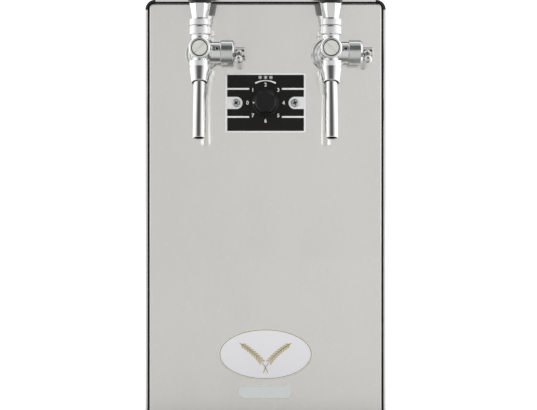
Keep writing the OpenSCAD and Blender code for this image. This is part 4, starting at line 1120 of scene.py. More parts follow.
@dataclass
class Dial:
    """Thermostat dial: printed plate, knob and screws."""

    height: float = 351.8
    width: float = 80.0
    tall: float = 59.5
    thick: float = 1.5
    corner: float = 1.5
    ink: float = 0.04
    ink_depth: float = 0.3
    margin: float = 1.7
    tab_reach: float = 17.0
    tab_width: float = 12.1
    line_size: Flat = (22.0, 1.7)
    line_height: float = 14.0
    arc_radius: float = 21.4
    arc_rise: float = 0.8
    arc_half: float = math.radians(28.5)
    digit_radius: float = 18.0
    digit_height: float = 3.5
    digit_weight: float = 0.11
    flake_places: Tuple[float, ...] = (-5.4, 0.0, 5.4)
    flake_height: float = 25.4
    screw_span: float = 58.5
    screw_head: float = 8.0
    screw_rise: float = 2.6
    screw_turns: Tuple[Flat, ...] = ((-1, 38), (1, 17))
    knob_gap: float = 0.4

    def build(self) -> None:
        """Builds the plate, its print, the knob and the screws."""
        self.base_plate()
        self.borders()
        self.tabs()
        self.lines()
        self.arc()
        self.digits()
        self.snowflakes()
        self.screws()
        self.knob()
        dress(CHROME, "dial_spindle", ease=0.2)

    def on_plate(self, x: float = 0.0, z: float = 0.0) -> Matrix:
        """Placement on the printed face, from the dial's middle."""
        return Facing.FRONT.at(x, PANEL_FACE - self.thick, self.height + z)

    @property
    def outline(self) -> Callable[[float], np.ndarray]:
        """Plate's outline as a function of its inset."""
        return plate(self.width, self.tall, self.corner)

    def inked(self, form: Form, name: str, finish: Finish) -> None:
        """Hands a printed form to the frame."""
        fit(form.object(name), finish, "casing", "dial_face")

    def shape(self, form: Form, outline: np.ndarray, placing: Matrix, share: float = 1.0) -> None:
        """Adds a flat printed shape, as thick as a share of the ink."""
        form.loft([lift(outline, -self.ink_depth), lift(outline, self.ink * share)], placing)

    def base_plate(self) -> None:
        """Plate with a slightly rounded edge."""
        placing = Facing.FRONT.at(0, PANEL_FACE, self.height)
        form = Form().loft(slab(self.outline, 0, self.thick, 0.35), placing)
        fit(form.object("dial_plate_body"), DIAL_FACE, "casing", "dial_face", "dial_plate")

    def borders(self) -> None:
        """White border that wraps over the plate's edge."""
        section = ((0.1, -1.1), (-0.05, -1.0), (-0.05, -0.34), (0.06, -0.1), (0.32, self.ink),
                   (1.75, self.ink), (1.75, -self.ink_depth))
        rings = [lift(self.outline(inset), rise) for inset, rise in section]
        self.inked(Form().loft(rings, self.on_plate(), loop=True), "dial_border", PRINT_WHITE)

    def tabs(self) -> None:
        """Pale tabs round the two screws."""
        edge, half = self.margin - self.width / 2, self.tab_width / 2
        middle = self.tab_reach - self.width / 2 - half
        turns = np.linspace(-math.pi / 2, math.pi / 2, 25)
        bow = [(middle + half * math.cos(a), half * math.sin(a)) for a in turns]
        left = np.array([(edge, -half), *bow, (edge, half)])
        form = Form()
        for flat in (left, (left * (-1, 1))[::-1]):
            self.shape(form, flat, self.on_plate())
        self.inked(form, "dial_tabs", PRINT_GREY)

    def lines(self) -> None:
        """Four white lines from the border inwards."""
        form = Form()
        length, width = self.line_size
        for side in (-1, 1):
            for z in (-self.line_height, self.line_height):
                middle = side * (self.width / 2 - self.margin - length / 2)
                self.shape(form, rounded(length, width, 0.1, 2), self.on_plate(middle, z))
        self.inked(form, "dial_lines", PRINT_WHITE)

    def arc(self) -> None:
        """White arc over the coldest digits, thick at its ends."""
        turns = np.linspace(-self.arc_half, self.arc_half, 33)
        thick = 0.4 + 0.45 * np.abs(turns / self.arc_half) ** 1.6
        inner, outer = (
            [(reach * math.sin(a), self.arc_rise + reach * math.cos(a))
             for a, reach in zip(turns, self.arc_radius + way * thick)] for way in (-1, 1))
        form = Form()
        self.shape(form, np.array(inner + outer[::-1]), self.on_plate())
        self.inked(form, "dial_arc", PRINT_WHITE)

    def digits(self) -> None:
        """Digits 0 to 7, clockwise from the left."""
        for digit in range(8):
            turn = math.radians(180 - 45 * digit)
            curve = bpy.data.curves.new(f"digit_{digit}", "FONT")
            curve.body = str(digit)
            curve.align_x = "CENTER"
            curve.align_y = "CENTER"
            curve.size = self.digit_height * MM / 0.69
            curve.offset = self.digit_weight * MM
            curve.extrude = self.ink * MM
            holder = placed(f"digit_{digit}", curve)
            bpy.context.view_layer.update()
            final = holder.evaluated_get(bpy.context.evaluated_depsgraph_get())
            mesh = bpy.data.meshes.new_from_object(final)
            bpy.data.objects.remove(holder)
            x, z = self.digit_radius * math.cos(turn), self.digit_radius * math.sin(turn)
            placing = self.on_plate(x, z)
            placing.translation *= MM
            mesh.transform(placing)
            mesh.materials.clear()
            fit(placed(f"dial_digit_{digit}", mesh), PRINT_WHITE, "casing", "dial_face")

    def snowflakes(self) -> None:
        """Row of three small snowflakes for the cold side."""
        form = Form()
        arm = rounded(1.9, 0.36, 0.1, 2) + (0.95, 0)
        barb = rounded(0.62, 0.26, 0.1, 2) + (0.31, 0)
        fork = Matrix.Translation((1.05, 0, 0))
        for x in self.flake_places:
            middle = self.on_plate(x, self.flake_height)
            for k in range(6):
                turn = middle @ spin(60 * k + 30)
                self.shape(form, arm, turn)
                for lean in (-55, 55):
                    self.shape(form, barb, turn @ fork @ spin(lean), 0.9)
        self.inked(form, "dial_snowflakes", PRINT_WHITE)

    def screws(self) -> None:
        """Two cross-head screws through the tabs."""
        places = [self.on_plate(side * self.screw_span / 2) @ spin(turn)
                  for side, turn in self.screw_turns]
        cross_head_screws("dial_screw", places, self.screw_head, self.screw_rise)

    def knob(self) -> None:
        """Knob with a skirt, and its white pointer."""
        placing = Facing.FRONT.at(0, PANEL_FACE - self.thick - self.knob_gap, self.height)
        profile = eased([
            (0, 0, 0), (13.5, 0, 0.3), (13.5, 2.0, 0.6), (12.4, 3.1, 0.4), (11.4, 3.6, 0.4),
            (10.7, 15.0, 0.5), (9.1, 16.9, 0.5), (0, 16.8, 0),
        ], 6)
        form = Form().turned(profile, placing, 128)
        fit(form.object("dial_knob_body"), KNOB_BLACK, "dial", "black_gloss", "dial_knob")
        tip = np.array([(-13.2, 0.0), (-11.0, -1.2), (-11.0, 1.2)])
        low, high = lift(tip, 2.6), lift(tip, 3.3)
        low[1:, 2] = 3.2
        high[1:, 2] = 4.0
        mark = Form().loft([low, high], placing)
        fit(mark.object("dial_pointer"), PRINT_WHITE, "dial", "black_gloss")


@dataclass
class Badges:
    """Oval badge with a barley motif, and the plain pill badge under it."""

    oval_height: float = 101.2
    oval_size: Flat = (94.0, 51.5)
    pill_height: float = 63.8
    pill_size: Flat = (53.2, 13.1)
    thick: float = 1.6
    stalk_width: float = 0.7
    awn_width: float = 0.22
    grain_size: Flat = (1.5, 4.3)
    grain_lean: float = 0.55
    grain_rows: int = 9

    def build(self) -> None:
        """Builds both badges."""
        self.oval_badge()
        self.motif()
        self.pill_badge()

    @property
    def on_oval(self) -> Matrix:
        """Placement of the oval badge on the panel."""
        return Facing.FRONT.at(0, PANEL_FACE, self.oval_height)

    def oval_badge(self) -> None:
        """Pearl field with a low dome, a cream rim and a bronze line."""
        w, h = self.oval_size
        rings = slab(lambda i: oval(w - 2 * i, h - 2 * i), 0, self.thick * 0.75, 0.5)
        rings += [lift(oval(w * s, h * s), self.thick * (1.0 - 0.25 * s * s))
                  for s in (0.9, 0.75, 0.5, 0.25, 0.01)]
        field = Form().loft(rings, self.on_oval)
        fit(field.object("oval_badge_field"), PEARL, "casing", "pearl_badge", "oval_badge")
        self.hoop("oval_cream_rim", 0.05, 1.15, 1.12, CREAM_RIM)
        self.hoop("oval_bronze_line", 1.2, 0.55, 1.14, BROWN_LINE)

    def hoop(self, name: str, inset: float, width: float, rise: float, finish: Finish) -> None:
        """Raised oval line.

        Args:
            name: The piece's name.
            inset: Distance from the badge's edge to the line.
            width: Width of the line.
            rise: Height of its base over the panel.
            finish: Its finish.
        """
        w, h = self.oval_size
        section = [(inset + width * share, rise + crown)
                   for share, crown in ((0, -0.3), (0.1, 0.22), (0.5, 0.3), (0.9, 0.26), (1, -0.3))]
        rings = [lift(oval(w - 2 * i, h - 2 * i, 160), z) for i, z in section]
        form = Form().loft(rings, self.on_oval, loop=True)
        fit(form.object(name), finish, "casing", "pearl_badge")

    def motif(self) -> None:
        """Two barley ears on bent stalks, in low relief."""
        form = Form()
        for side in (-1, 1):
            points = np.array([(side * (27.0 * t ** 1.35 - 2.0), -18.5 + 37.0 * t - 8.0 * t * t)
                               for t in np.linspace(0, 1, 41)])
            ahead = headings(points)
            left = np.stack([-ahead[:, 1], ahead[:, 0]], 1)
            for a, b in zip(points[:-1], points[1:]):
                self.stroke(form, a, b, self.stalk_width)
            for row in range(self.grain_rows):
                k = 13 + row * 3
                for lean in (-1, 1):
                    middle = points[k] + left[k] * lean * 1.95 * (1 - 0.04 * row)
                    way = self.grain(form, middle, ahead[k], lean)
                    tip = middle + way * (5.2 - 0.2 * row) + ahead[k] * 1.2
                    self.stroke(form, middle + way * 1.8, tip, self.awn_width)
        fit(form.object("oval_barley_motif"), GOLD_LINE, "casing", "pearl_badge")

    def grain(self, form: Form, middle: np.ndarray, ahead: np.ndarray, lean: int) -> np.ndarray:
        """One domed barley grain.

        Args:
            form: Form that the grain is added to.
            middle: Its middle, across and up.
            ahead: Direction of the stalk there.
            lean: Side of the stalk that it leans to.

        Returns:
            The direction in which the grain points.
        """
        heading = math.atan2(ahead[1], ahead[0]) - math.pi / 2 - lean * self.grain_lean
        at = Matrix.Translation((*middle, 0)) @ Matrix.Rotation(heading, 4, "Z")
        w, h = self.grain_size
        rings = [lift(oval(w * s, h * s, 24),
                      self.thick * 0.97 + 0.3 * math.sqrt(max(1 - s * s, 0)))
                 for s in (1.0, 0.9, 0.7, 0.4, 0.05)]
        form.loft(rings, self.on_oval @ at, (False, True))
        return np.array((-math.sin(heading), math.cos(heading)))

    def stroke(self, form: Form, start: np.ndarray, end: np.ndarray, width: float) -> None:
        """Raised printed line between two points.

        Args:
            form: Form that the line is added to.
            start: One end, across and up.
            end: The other end.
            width: Width of the line.
        """
        run = end - start
        turn = Matrix.Rotation(math.atan2(run[1], run[0]), 4, "Z")
        at = Matrix.Translation((*((start + end) / 2), 0)) @ turn
        outline = rounded(float(np.linalg.norm(run)) + width * 0.6, width, width * 0.3, 2)
        rings = [lift(outline, self.thick * 0.7), lift(outline, self.thick + 0.12)]
        form.loft(rings, self.on_oval @ at)

    def pill_badge(self) -> None:
        """Satin silver pill with a fine raised rim."""
        w, h = self.pill_size
        outline = plate(w, h, h / 2, 16)
        rings = slab(outline, 0, self.thick, 0.4)
        rings += [lift(outline(inset), self.thick - sink)
                  for inset, sink in ((0.9, 0), (1.05, 0.35), (3.0, 0.3))]
        form = Form().loft(rings, Facing.FRONT.at(0, PANEL_FACE, self.pill_height))
        fit(form.object("pill_badge_body"), SILVER, "casing", "silver_badge", "pill_badge")


@dataclass
class Tap:
    """One compensator tap, placed from where its axis meets the panel."""

    side: Side
    spacing: float = 126.0
    axis: float = 400.3
    rosette_r: float = 17.5
    rosette_t: float = 5.0
    barrel_r: float = 10.5
    barrel_back: float = 4.9
    barrel_front: float = 70.0
    stem: float = 52.0
    pivot: float = 12.0
    neck_r: float = 8.75
    chamber_r: float = 6.1
    chamber_back: float = 24.0
    plug_r: float = 7.15
    plug_seal_r: float = 8.05
    collar_r: float = 10.75
    nut_h: float = 8.1
    cap_t: float = 2.1
    cap_rim: float = 0.4
    gap: float = 0.3
    ball_r: float = 4.8
    stem_r: float = 3.6
    lean: float = math.radians(22)
    tip_lean: float = math.radians(11)
    outlet_len: float = 36.2
    outlet_r: float = 10.2
    outlet_tip_r: float = 7.95
    spout_r: float = 6.0
    spout_bore: float = 5.0
    spout_drop: float = 87.0
    comp: float = 19.0
    boss_r: float = 10.4
    boss_x: float = 19.0
    pin_r: float = 1.6
    housing_r: float = 11.9
    housing_x: float = 32.4
    spindle_r: float = 3.05
    hub_r: float = 5.0
    hub_l: float = 10.2
    arm: float = 22.0
    arm_tip_r: float = 3.9
    arm_droop: float = math.radians(22.6)
    ferrule_h: float = 15.2
    handle_h: float = 74.0
    handle_waist: float = 11.0
    handle_shoulder: float = 17.5
    handle_flare: float = 0.76
    handle_foot: float = 0.8

    @property
    def word(self) -> str:
        """Name ending of the tap's nodes and bodies."""
        return self.side.word

    @property
    def down(self) -> np.ndarray:
        """Direction of the outlet, to the right, to the rear and up."""
        return np.array((0.0, -math.sin(self.lean), -math.cos(self.lean)))

    @property
    def root(self) -> np.ndarray:
        """Where the lever's axis crosses the barrel's, to the right, to the rear and up."""
        return np.array((0.0, -self.stem, 0.0))

    @property
    def dome(self) -> float:
        """Radius of the collar nut's dome round the ball joint."""
        return math.hypot(self.collar_r, 2 + self.nut_h)

    @property
    def cap_low(self) -> float:
        """Height of the splash collar's flat lower rim."""
        reach = (self.dome + self.gap) ** 2 - (self.collar_r - self.cap_rim) ** 2
        return self.pivot + math.sqrt(reach)

    @property
    def cap_top(self) -> float:
        """Height of the splash collar's top."""
        return self.pivot + self.dome + self.gap + self.cap_t

    def at(self, right: float = 0.0, rear: float = 0.0, up: float = 0.0) -> Corner:
        """Point in the frame's axes."""
        return (self.side.value * self.spacing / 2 + right, PANEL_FACE + rear, self.axis + up)

    def build(self) -> None:
        """Builds every piece of the tap."""
        self.rosette()
        self.body()
        self.plug()
        self.spout()
        self.collars()
        self.ferrule()
        self.handle()
        self.compensator()
        dress(CHROME, f"lever_stem_{self.word}", f"tap_plunger_{self.word}", ease=0.15)
        dress(ACETAL_WHITE, f"compensator_cone_{self.word}", ease=0.15)

    def fitted(self, form: Form, name: str, finish: Finish, body: str, *nodes: str,
               slot: str = "chrome") -> None:
        """Hands one of the tap's pieces to the frame under its side's name."""
        fit(form.object(f"{name}_{self.word}"), finish, body, slot, *nodes)

    def cast(self, solid: Solid, low: Sequence[float], high: Sequence[float], step: float) -> Form:
        """Form of a solid given in right, rearward and up distances, skinned on a grid."""
        points, faces, normals = solid.mesh(low, high, step)
        return Form().add(points, faces, Matrix.Translation(self.at()), normals)

    def rosette(self) -> None:
        """Stepped rosette between panel and barrel."""
        r, t = self.rosette_r, self.rosette_t
        profile = eased([
            (0, 0, 0), (r, 0, 0.2), (r, 1.7, 0.7), (r - 1.5, 3.0, 0.6), (r - 3.2, 3.3, 0.5),
            (r - 5.2, t, 0.6), (0, t, 0),
        ])
        form = Form().turned(profile, Facing.FRONT.at(*self.at()), 128)
        self.fitted(form, "tap_rosette", ROSETTE, "casing", "tap_rosettes")

    def body(self) -> None:
        """Cast body: barrel, neck, outlet cone and compensator boss in one skin."""
        root, down, front, comp = self.root, self.down, -self.barrel_front, -self.comp
        tip = root + down * self.outlet_len
        back = (0, -self.barrel_back, 0)
        middle = root + (0, -7.4, 0)
        pit = np.array((self.boss_x - 3.4, comp, 2.9))
        solid = Solid.rod(back, (0, front, 0), self.barrel_r, ease=2.2)
        # Foot ring, compensator boss, lever neck, two necks of the outlet, its collar and its cone:
        # ends, radii, eased edges and fillet.
        joins = (
            (back, (0, -7.2, 0), self.barrel_r + 1.1, None, 0.7, 0.8),
            ((0, comp, 0), (self.boss_x, comp, 0), self.boss_r, None, 0.5, 0.7),
            (root, root + (0, 0, self.pivot + 2), self.neck_r, None, 0.5, 2.2),
            (root, root + down * 20, 7.2, None, 0.6, 0.6),
            (root + down * 15, root + down * 25, 9.4, None, 0.6, 0.5),
            (middle + (0, 0, -11.6), middle + (0, 0, -17.4), 10.4, 10.25, 0.35, 0.2),
            (root + down * 21.3, tip, self.outlet_r, self.outlet_tip_r, 0.35, 0.2),
        )
        for start, end, low, high, ease, fillet in joins:
            solid = solid.joined(Solid.rod(start, end, low, high, ease), fillet)
        # Plug seat, plunger chamber, spout socket, stem hole, boss's pit: ends, radius, fillet.
        cuts = (
            ((0, front - 4, 0), (0, front + 3.2, 0), self.plug_seal_r - 0.1, 0.8),
            ((0, -self.chamber_back, 0), (0, front + 1, 0), self.chamber_r, 0.2),
            (tip - down * 2.8, tip + down * 8, self.spout_r + 1.05, 0.3),
            (root + (0, 0, 5), root + (0, 0, 30), self.ball_r, 0.3),
            (pit, pit - (0, 14, 0), self.pin_r, 0.3),
        )
        for start, end, radius, fillet in cuts:
            solid = solid.cut(Solid.rod(start, end, radius, ease=0.1), fillet)
        form = self.cast(solid, (-12, -74, -38), (20, -4, 15), 0.45)
        self.fitted(form, "tap_body_casting", CHROME, "casing", f"tap_body_{self.word}")
        self.boss_pit_shade(pit)
        self.spout_seal(tip)

    def boss_pit_shade(self, pit: np.ndarray) -> None:
        """Black pin at the bottom of the boss's pit, which darkens the pit as painted shade.

        Args:
            pit: Start of the pit, on the boss's axis.
        """
        # Black pin that darkens the pit: painted shade.
        r = self.pin_r - 0.02
        profile = eased([(0, -1.5, 0), (r, -1.5, 0), (r, 0, 0.3), (0, 0.1, 0)], 3)
        bottom = pit - (0, self.boss_r - 1.7, 0)
        form = Form().turned(profile, Facing.FRONT.at(*self.at(*bottom)), 32)
        self.fitted(form, "boss_pit_shade", BLACK_SEAL_AND_PAINTED_SHADE, "casing")

    def spout_seal(self, tip: np.ndarray) -> None:
        """Rubber O-ring between the outlet cone and the spout tube, black so that it also shows the
        dark shadow in the gap: partly painted shade.

        Args:
            tip: Middle of the cone's end.
        """
        # Black ring in the cone's mouth, which also stands for the shadow in the gap: painted
        # shade.
        bore, tube = self.spout_r + 1.0, self.spout_r - 0.05
        profile = [(tube, 0.0), (bore, 0.0), (bore, 1.0), (bore - 0.4, 1.35), (tube, 1.2)]
        start = self.at(*(tip - self.down * 2.6))
        form = Form().turned(profile, along(start, self.down), 64, loop=True)
        self.fitted(form, "spout_seal", BLACK_SEAL_AND_PAINTED_SHADE, "casing", slot="black_rubber")

    def plug(self) -> None:
        """Satin front plug with a worn screwdriver slot, in a black ring that stands for the
        shadowed gap round it: painted shade.
        """
        front = -self.barrel_front
        solid = Solid.rod((0, front + 3.0, 0), (0, front + 0.25, 0), self.plug_r, ease=0.4)
        turn = spin(self.side.value * 45, "Y")
        solid = solid.cut(Solid.block((-8, front - 3, -0.7), (8, front + 1.2, 0.7), turn), 0.4)
        form = self.cast(solid, (-8, front - 0.4, -8), (8, front + 3.4, 8), 0.28)
        self.fitted(form, "front_plug", PLUG_FACE, "casing", "front_plugs")
        # Black ring down in the gap round the plug: painted shade of the gap.
        inner, outer = self.plug_r - 0.15, self.plug_seal_r
        gap_shade_ring = [(inner, -3.1), (outer, -3.1), (outer, -1.25), (outer - 0.45, -1.0), (inner, -1.1)]
        form = Form().turned(gap_shade_ring, Facing.FRONT.at(*self.at(0, front, 0)), 72, loop=True)
        self.fitted(form, "plug_seal", BLACK_SEAL_AND_PAINTED_SHADE, "casing", slot="black_rubber")

    def spout_path(self) -> np.ndarray:
        """Lays out the spout tube's axis.

        Returns:
            Its points, from inside the outlet cone to the tube's open end.
        """
        start = self.root + self.down * self.outlet_len
        radius = (self.spout_drop + start[2]) / (math.sin(self.lean) - math.sin(self.tip_lean))
        turns = np.linspace(self.lean, self.tip_lean, 40)
        out, up = math.cos(self.lean) - np.cos(turns), np.sin(turns) - math.sin(self.lean)
        bend = start + radius * np.stack([np.zeros(len(turns)), out, up], 1)
        inside = start - self.down * np.array([[9.0], [4.5]])
        return np.concatenate([inside, bend]) + np.array(self.at())

    def spout(self) -> None:
        """Bent spout tube with an open, eased end."""
        path = self.spout_path()
        ahead = headings(path)
        right = np.array((1.0, 0.0, 0.0))

        def ring(at: np.ndarray, direction: np.ndarray, radius: float) -> np.ndarray:
            """Ring round the tube's axis."""
            flat = circle(radius, 72)
            return at + flat[:, :1] * right + flat[:, 1:] * np.cross(direction, right)

        rings = [ring(p, t, self.spout_r) for p, t in zip(path[:-1], ahead[:-1])]
        last, out = path[-1], ahead[-1]
        ease = (self.spout_r - self.spout_bore) / 2
        for turn in np.arange(7) / 6 * math.pi:
            rim = self.spout_r - ease + ease * math.cos(turn)
            rings.append(ring(last - out * ease * (1 - math.sin(turn)), out, rim))
        rings += [ring(p, t, self.spout_bore) for p, t in zip(path[-2:12:-1], ahead[-2:12:-1])]
        self.fitted(Form().loft(rings), "spout_tube", SPOUT_TUBE, "casing", f"spout_{self.word}")

    def collars(self) -> None:
        """Domed collar nut with the lever's slot, and the splash collar over it."""
        base, dome, y, r = self.pivot + 2, self.dome, -self.stem, self.collar_r
        middle = (0.0, y, self.pivot)
        solid = Solid.rod((0, y, base), (0, y, 40), r, ease=0.9)
        solid = solid.within(Solid.ball(middle, dome), 0.9)
        solid = solid.cut(Solid.ball(middle, self.ball_r), 0.2)
        for lean in np.radians((-25, -12, 0, 12)):
            tip = (0.0, y + 30 * math.sin(lean), self.pivot + 30 * math.cos(lean))
            solid = solid.cut(Solid.rod(middle, tip, self.stem_r, ease=0.1), 0.15)
        form = self.cast(solid, (-11, y - 11, base), (11, y + 11, base + 12), 0.36)
        self.fitted(form, "collar_nut", CHROME_TURNED, "casing", "collar_nuts")
        under, low, top = dome + self.gap, self.cap_low, self.cap_top
        heights = np.linspace(under - 0.01, low - self.pivot, 12)
        hollow = [(math.sqrt(max(under ** 2 - h ** 2, 0.0)), h + self.pivot) for h in heights]
        outer = eased([(hollow[-1][0], low, 0), (r, low, 0.35), (r, top, 1.0), (0, top, 0)])
        form = Form().turned(hollow[:-1] + outer, Facing.UP.at(*self.at(0, y, 0)))
        body = f"lever_{self.word}"
        self.fitted(form, "splash_ring", CHROME_TURNED, body, f"splash_collar_{self.word}")

    def ferrule(self) -> None:
        """Octagonal ferrule that widens towards the handle."""
        low, high = self.cap_top, self.cap_top + self.ferrule_h
        sizes = ((14.2, low), (15.0, low + 0.5), (15.2, low + 1.0),
                 (19.7, high - 1.2), (20.0, high - 0.6), (19.4, high))
        rings = [lift(faceted(8, across, 0.7), z) for across, z in sizes]
        form = Form().loft(rings, Facing.UP.at(*self.at(0, -self.stem, 0)))
        self.fitted(form, "ferrule", CHROME, f"lever_{self.word}", f"handle_ferrule_{self.word}")

    def handle(self) -> None:
        """Flared handle with a domed top."""
        foot = self.cap_top + self.ferrule_h
        waist, shoulder = self.handle_waist, self.handle_shoulder
        flare, seam = self.handle_h * self.handle_flare, self.handle_foot
        profile: List[Flat] = [(0, 0), (waist - 1.2, 0), (waist - 0.5, 0.12), (waist - 0.1, 0.5)]
        shares = np.arange(1, 25) / 24
        for share, turn in zip(shares, shares * math.pi / 2):
            radius = waist + (shoulder - waist) * math.sin(turn)
            profile.append((radius, seam + (flare - seam) * share))
        for turn in shares * math.pi / 2:
            radius = shoulder * max(math.cos(turn), 0.0) ** 0.7
            profile.append((radius, flare + (self.handle_h - flare) * math.sin(turn)))
        form = Form().turned(profile, Facing.UP.at(*self.at(0, -self.stem, foot)))
        body, node = f"lever_{self.word}", f"tap_handle_{self.word}"
        self.fitted(form, "handle_grip", HANDLE_BLACK, body, node, slot="black_gloss")

    def compensator(self) -> None:
        """Housing at the tap's right, and the adjusting lever on its spindle."""
        r, end, bore, y = self.housing_r, self.housing_x, self.spindle_r, -self.comp
        seat = self.boss_x + 0.02
        profile = eased([
            (bore, 11.0, 0), (9.0, 11.0, 0), (9.0, seat, 0), (r, seat, 0.5),
            (r, end - 1.6, 1.4), (r - 1.9, end, 0.8), (bore, end, 0.3), (bore, 11.0, 0),
        ])
        form = Form().turned(profile, Facing.RIGHT.at(*self.at(0, y, 0)))
        node = f"compensator_housing_{self.word}"
        self.fitted(form, "compensator_barrel", CHROME_SATIN, "casing", node)
        hub = end + 0.3
        far = hub + self.hub_l
        out = np.array((0.0, -math.cos(self.arm_droop), -math.sin(self.arm_droop)))
        start = np.array((hub + self.hub_l / 2 - 0.8, y, 0.0))
        tip = start + out * self.arm
        pit = start + out * (self.arm + self.arm_tip_r)
        solid = Solid.rod((hub, y, 0), (far, y, 0), self.hub_r, ease=0.9)
        solid = solid.joined(Solid.rod(start, tip, 3.1, 3.6, ease=0.5), 1.2)
        solid = solid.joined(Solid.ball(tip, self.arm_tip_r), 0.8)
        solid = solid.cut(Solid.rod(pit - out * 1.4, pit + out * 2, 1.1, ease=0.1), 0.3)
        spindle = Solid.rod((self.boss_x - 1, y, 0), (hub + 1, y, 0), bore - 0.15, ease=0.2)
        solid = solid.joined(spindle, 0.1)
        form = self.cast(solid, (self.boss_x - 1.2, y - 26, -13), (far, y + 6, 6), 0.3)
        body = f"adjuster_{self.word}"
        self.fitted(form, "adjusting_lever", CHROME_LEVER, body, f"compensator_lever_{self.word}")


@dataclass
class RearFittings:
    """Beer inlets and the mains inlet."""

    mains_x: float = 78.0
    mains_z: float = 232.0
    pins: Tuple[Flat, ...] = ((-7, -2), (7, -2), (0, 3))
    pin_size: Flat = (2.1, 4.1)
    pin_tip: float = -1.9

    def build(self) -> None:
        """Dresses the rear fittings and adds the contact pins."""
        dress(ACETAL_GREY, "inlet_fittings", ease=0.5)
        dress(ACETAL_BLACK, "inlet_collet_left", "inlet_collet_right", ease=0.4)
        dress(GRIP_BLACK, "mains_inlet", ease=0.4)
        w, h = self.pin_size
        form = Form()
        for x, z in self.pins:
            rings = slab(lambda i: rounded(w - 2 * i, h - 2 * i, 0.3), -6.0, self.pin_tip, 0.5)
            form.loft(rings, Facing.REAR.at(self.mains_x + x, REAR_FACE, self.mains_z + z))
        fit(form.object("mains_contact_pins"), BRASS, "casing", "black_satin")


@dataclass
class Cooling:
    """Pieces inside the casing, seen through the slots."""

    looks: Tuple[Tuple[Finish, float, Tuple[str, ...]], ...] = (
        (STEEL_TRAY, 0.2, ("block_shelf", "thermostat_body")),
        (COPPER, 0.0, ("thermostat_probe", "condenser_tube", "refrigerant_lines", "filter_drier")),
        (FOAM, 1.0, ("insulation_tub", "insulation_lid")),
        (CAST_ALUMINIUM, 0.8, ("cooling_block",)),
        (SPOUT_TUBE, 0.0, ("beer_lines",)),
        (ENAMEL, 0.4, ("compressor",)),
        (FOOT_RUBBER, 0.4, ("compressor_mounts",)),
        (GRIP_BLACK, 0.4, ("terminal_cover", "fan_shroud")),
        (KNOB_BLACK, 0.3, ("fan_rotor",)),
        (FIN_ALUMINIUM, 0.0, ("condenser_fins",)),
        (ZINC, 0.4, ("fan_motor", "shank_nuts")),
    )

    def build(self) -> None:
        """Dresses the cooling system."""
        for finish, ease, nodes in self.looks:
            dress(finish, *nodes, ease=ease)


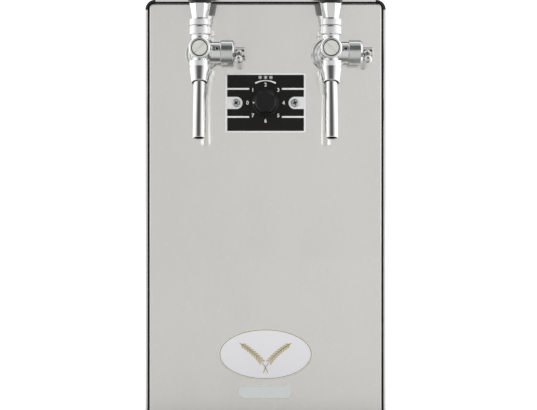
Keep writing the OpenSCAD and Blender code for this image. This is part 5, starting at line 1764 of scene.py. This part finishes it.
@dataclass
class Studio:
    """Floor, soft light, surroundings and camera."""

    frame_width: int = 537
    distance: float = 1.6
    closer: float = 1.002
    camera_x: float = 0.00295
    camera_z: float = 0.25
    sensor: float = 36.0
    floor_low: Flat = (-30.0, -6.0)
    floor_high: Flat = (30.0, 60.0)
    front_level: float = 0.632
    patch_level: float = 0.1
    side_level: float = 1.3
    top_level: float = 0.5
    fill_strength: float = 0.95

    def build(self) -> None:
        """Sets the stage."""
        self.floor()
        self.surroundings()
        self.fill_light()
        self.camera()
        bpy.context.scene.view_settings.view_transform = "Standard"

    def floor(self) -> None:
        """Pale floor sheet with painted glow behind and beside the dispenser and painted shade in
        front of it.
        """
        mesh = bpy.data.meshes.new("floor")
        (x0, y0), (x1, y1) = self.floor_low, self.floor_high
        mesh.from_pydata([(x0, y0, 0), (x1, y0, 0), (x1, y1, 0), (x0, y1, 0)], [], [(0, 1, 2, 3)])
        sheet = placed("floor", mesh)
        material = bpy.data.materials.new("pale_floor_painted_shade_and_glow")
        p = Painter(material)
        deg = math.radians
        cloud = p.noise(3.0, 3)
        side, depth = p.axis(0), p.axis(1)
        near = depth + 0.1
        away = (side * side + near * near) ** 0.5
        turn = abs(side).turned_from(near * -1.0)
        front = turn.ramp(deg(35), deg(80), 1.0, 0.0)
        # Painted shade in front of the dispenser: a broad painted shadow, a darker painted contact
        # shadow at its foot, and a slope that is darker to the left.
        painted_wide_shadow, painted_contact_shadow = away.ramp(0.2, 0.6, 0.2, 0.0), away.ramp(0.14, 0.36, 0.35, 0.0)
        shade = front * (painted_wide_shadow + painted_contact_shadow + side.ramp(-0.5, 0.5, 0.315, 0.25))
        # Painted light: behind the dispenser and far beside it, the floor gives off light of its
        # own.
        beside = away.ramp(0.5, 1.4) * turn.ramp(deg(50), deg(84), 0.0, 0.6)
        glow = p.mix(depth.ramp(-0.02, 0.22).above(beside), (0, 0, 0), (0.62, 0.62, 0.62))
        pale = p.mix(cloud, (0.83, 0.83, 0.82), (0.86, 0.86, 0.85))
        p.surface(base_color=p.mix(shade, pale, (0, 0, 0)), roughness=0.6 + cloud * 0.1,
                  specular=0.2, emission_color=glow, emission_strength=1.0)
        mesh.materials.append(material)

    def surroundings(self) -> None:
        """White sides and rear, a grey front and a dark patch in front above the camera."""
        world = bpy.context.scene.world or bpy.data.worlds.new("studio")
        bpy.context.scene.world = world
        p = Painter(world)
        deg = math.radians
        ray = p.node("ShaderNodeTexCoord", output="Generated")
        x, y, z = (p.node("ShaderNodeSeparateXYZ", {}, {0: ray}, k) for k in range(3))
        across = abs(x.turned_from(y * -1.0) + deg(5))
        height = z.rise()
        dark = height.ramp(deg(6), deg(24)) * height.ramp(deg(58), deg(84), 1.0, 0.0)
        front = self.front_level + height.below(deg(10)) * 0.2 + x.below(0.1).above(-0.1) * 0.28
        front = front - dark * (front - self.patch_level)
        level = front + (self.side_level - front) * across.ramp(deg(14), deg(84))
        level = level + (self.top_level - level) * height.ramp(deg(66), deg(86))
        shade = p.node("ShaderNodeBackground", {}, {"Color": (1.0, 0.998, 0.99), "Strength": level})
        p.finish("ShaderNodeOutputWorld", shade)

    def fill_light(self) -> None:
        """Broad, faint light from the front that polished metal doesn't mirror."""
        data = bpy.data.lights.new("fill", "SUN")
        data.energy = self.fill_strength
        data.angle = math.radians(50)
        made = placed("fill", data)
        made.rotation_euler = (math.radians(66), 0.0, math.radians(-12))
        made.visible_glossy = False

    def camera(self) -> None:
        """Level camera straight in front, one millimetre of the panel to a pixel."""
        data = bpy.data.cameras.new("camera")
        data.sensor_fit = "HORIZONTAL"
        data.sensor_width = self.sensor
        data.lens = self.sensor * self.distance / (self.frame_width * MM) * self.closer
        made = placed("camera", data)
        made.location = (self.camera_x, PANEL_FACE * MM - self.distance, self.camera_z)
        made.rotation_euler = (math.pi / 2, 0, 0)
        bpy.context.scene.camera = made


def main() -> None:
    """Builds the studio and dresses the dispenser."""
    logging.basicConfig(level=logging.INFO, format="%(message)s")
    Studio().build()
    Casing().build()
    Dial().build()
    Badges().build()
    for side in Side:
        Tap(side).build()
    RearFittings().build()
    Cooling().build()


if __name__ == "__main__":
    main()
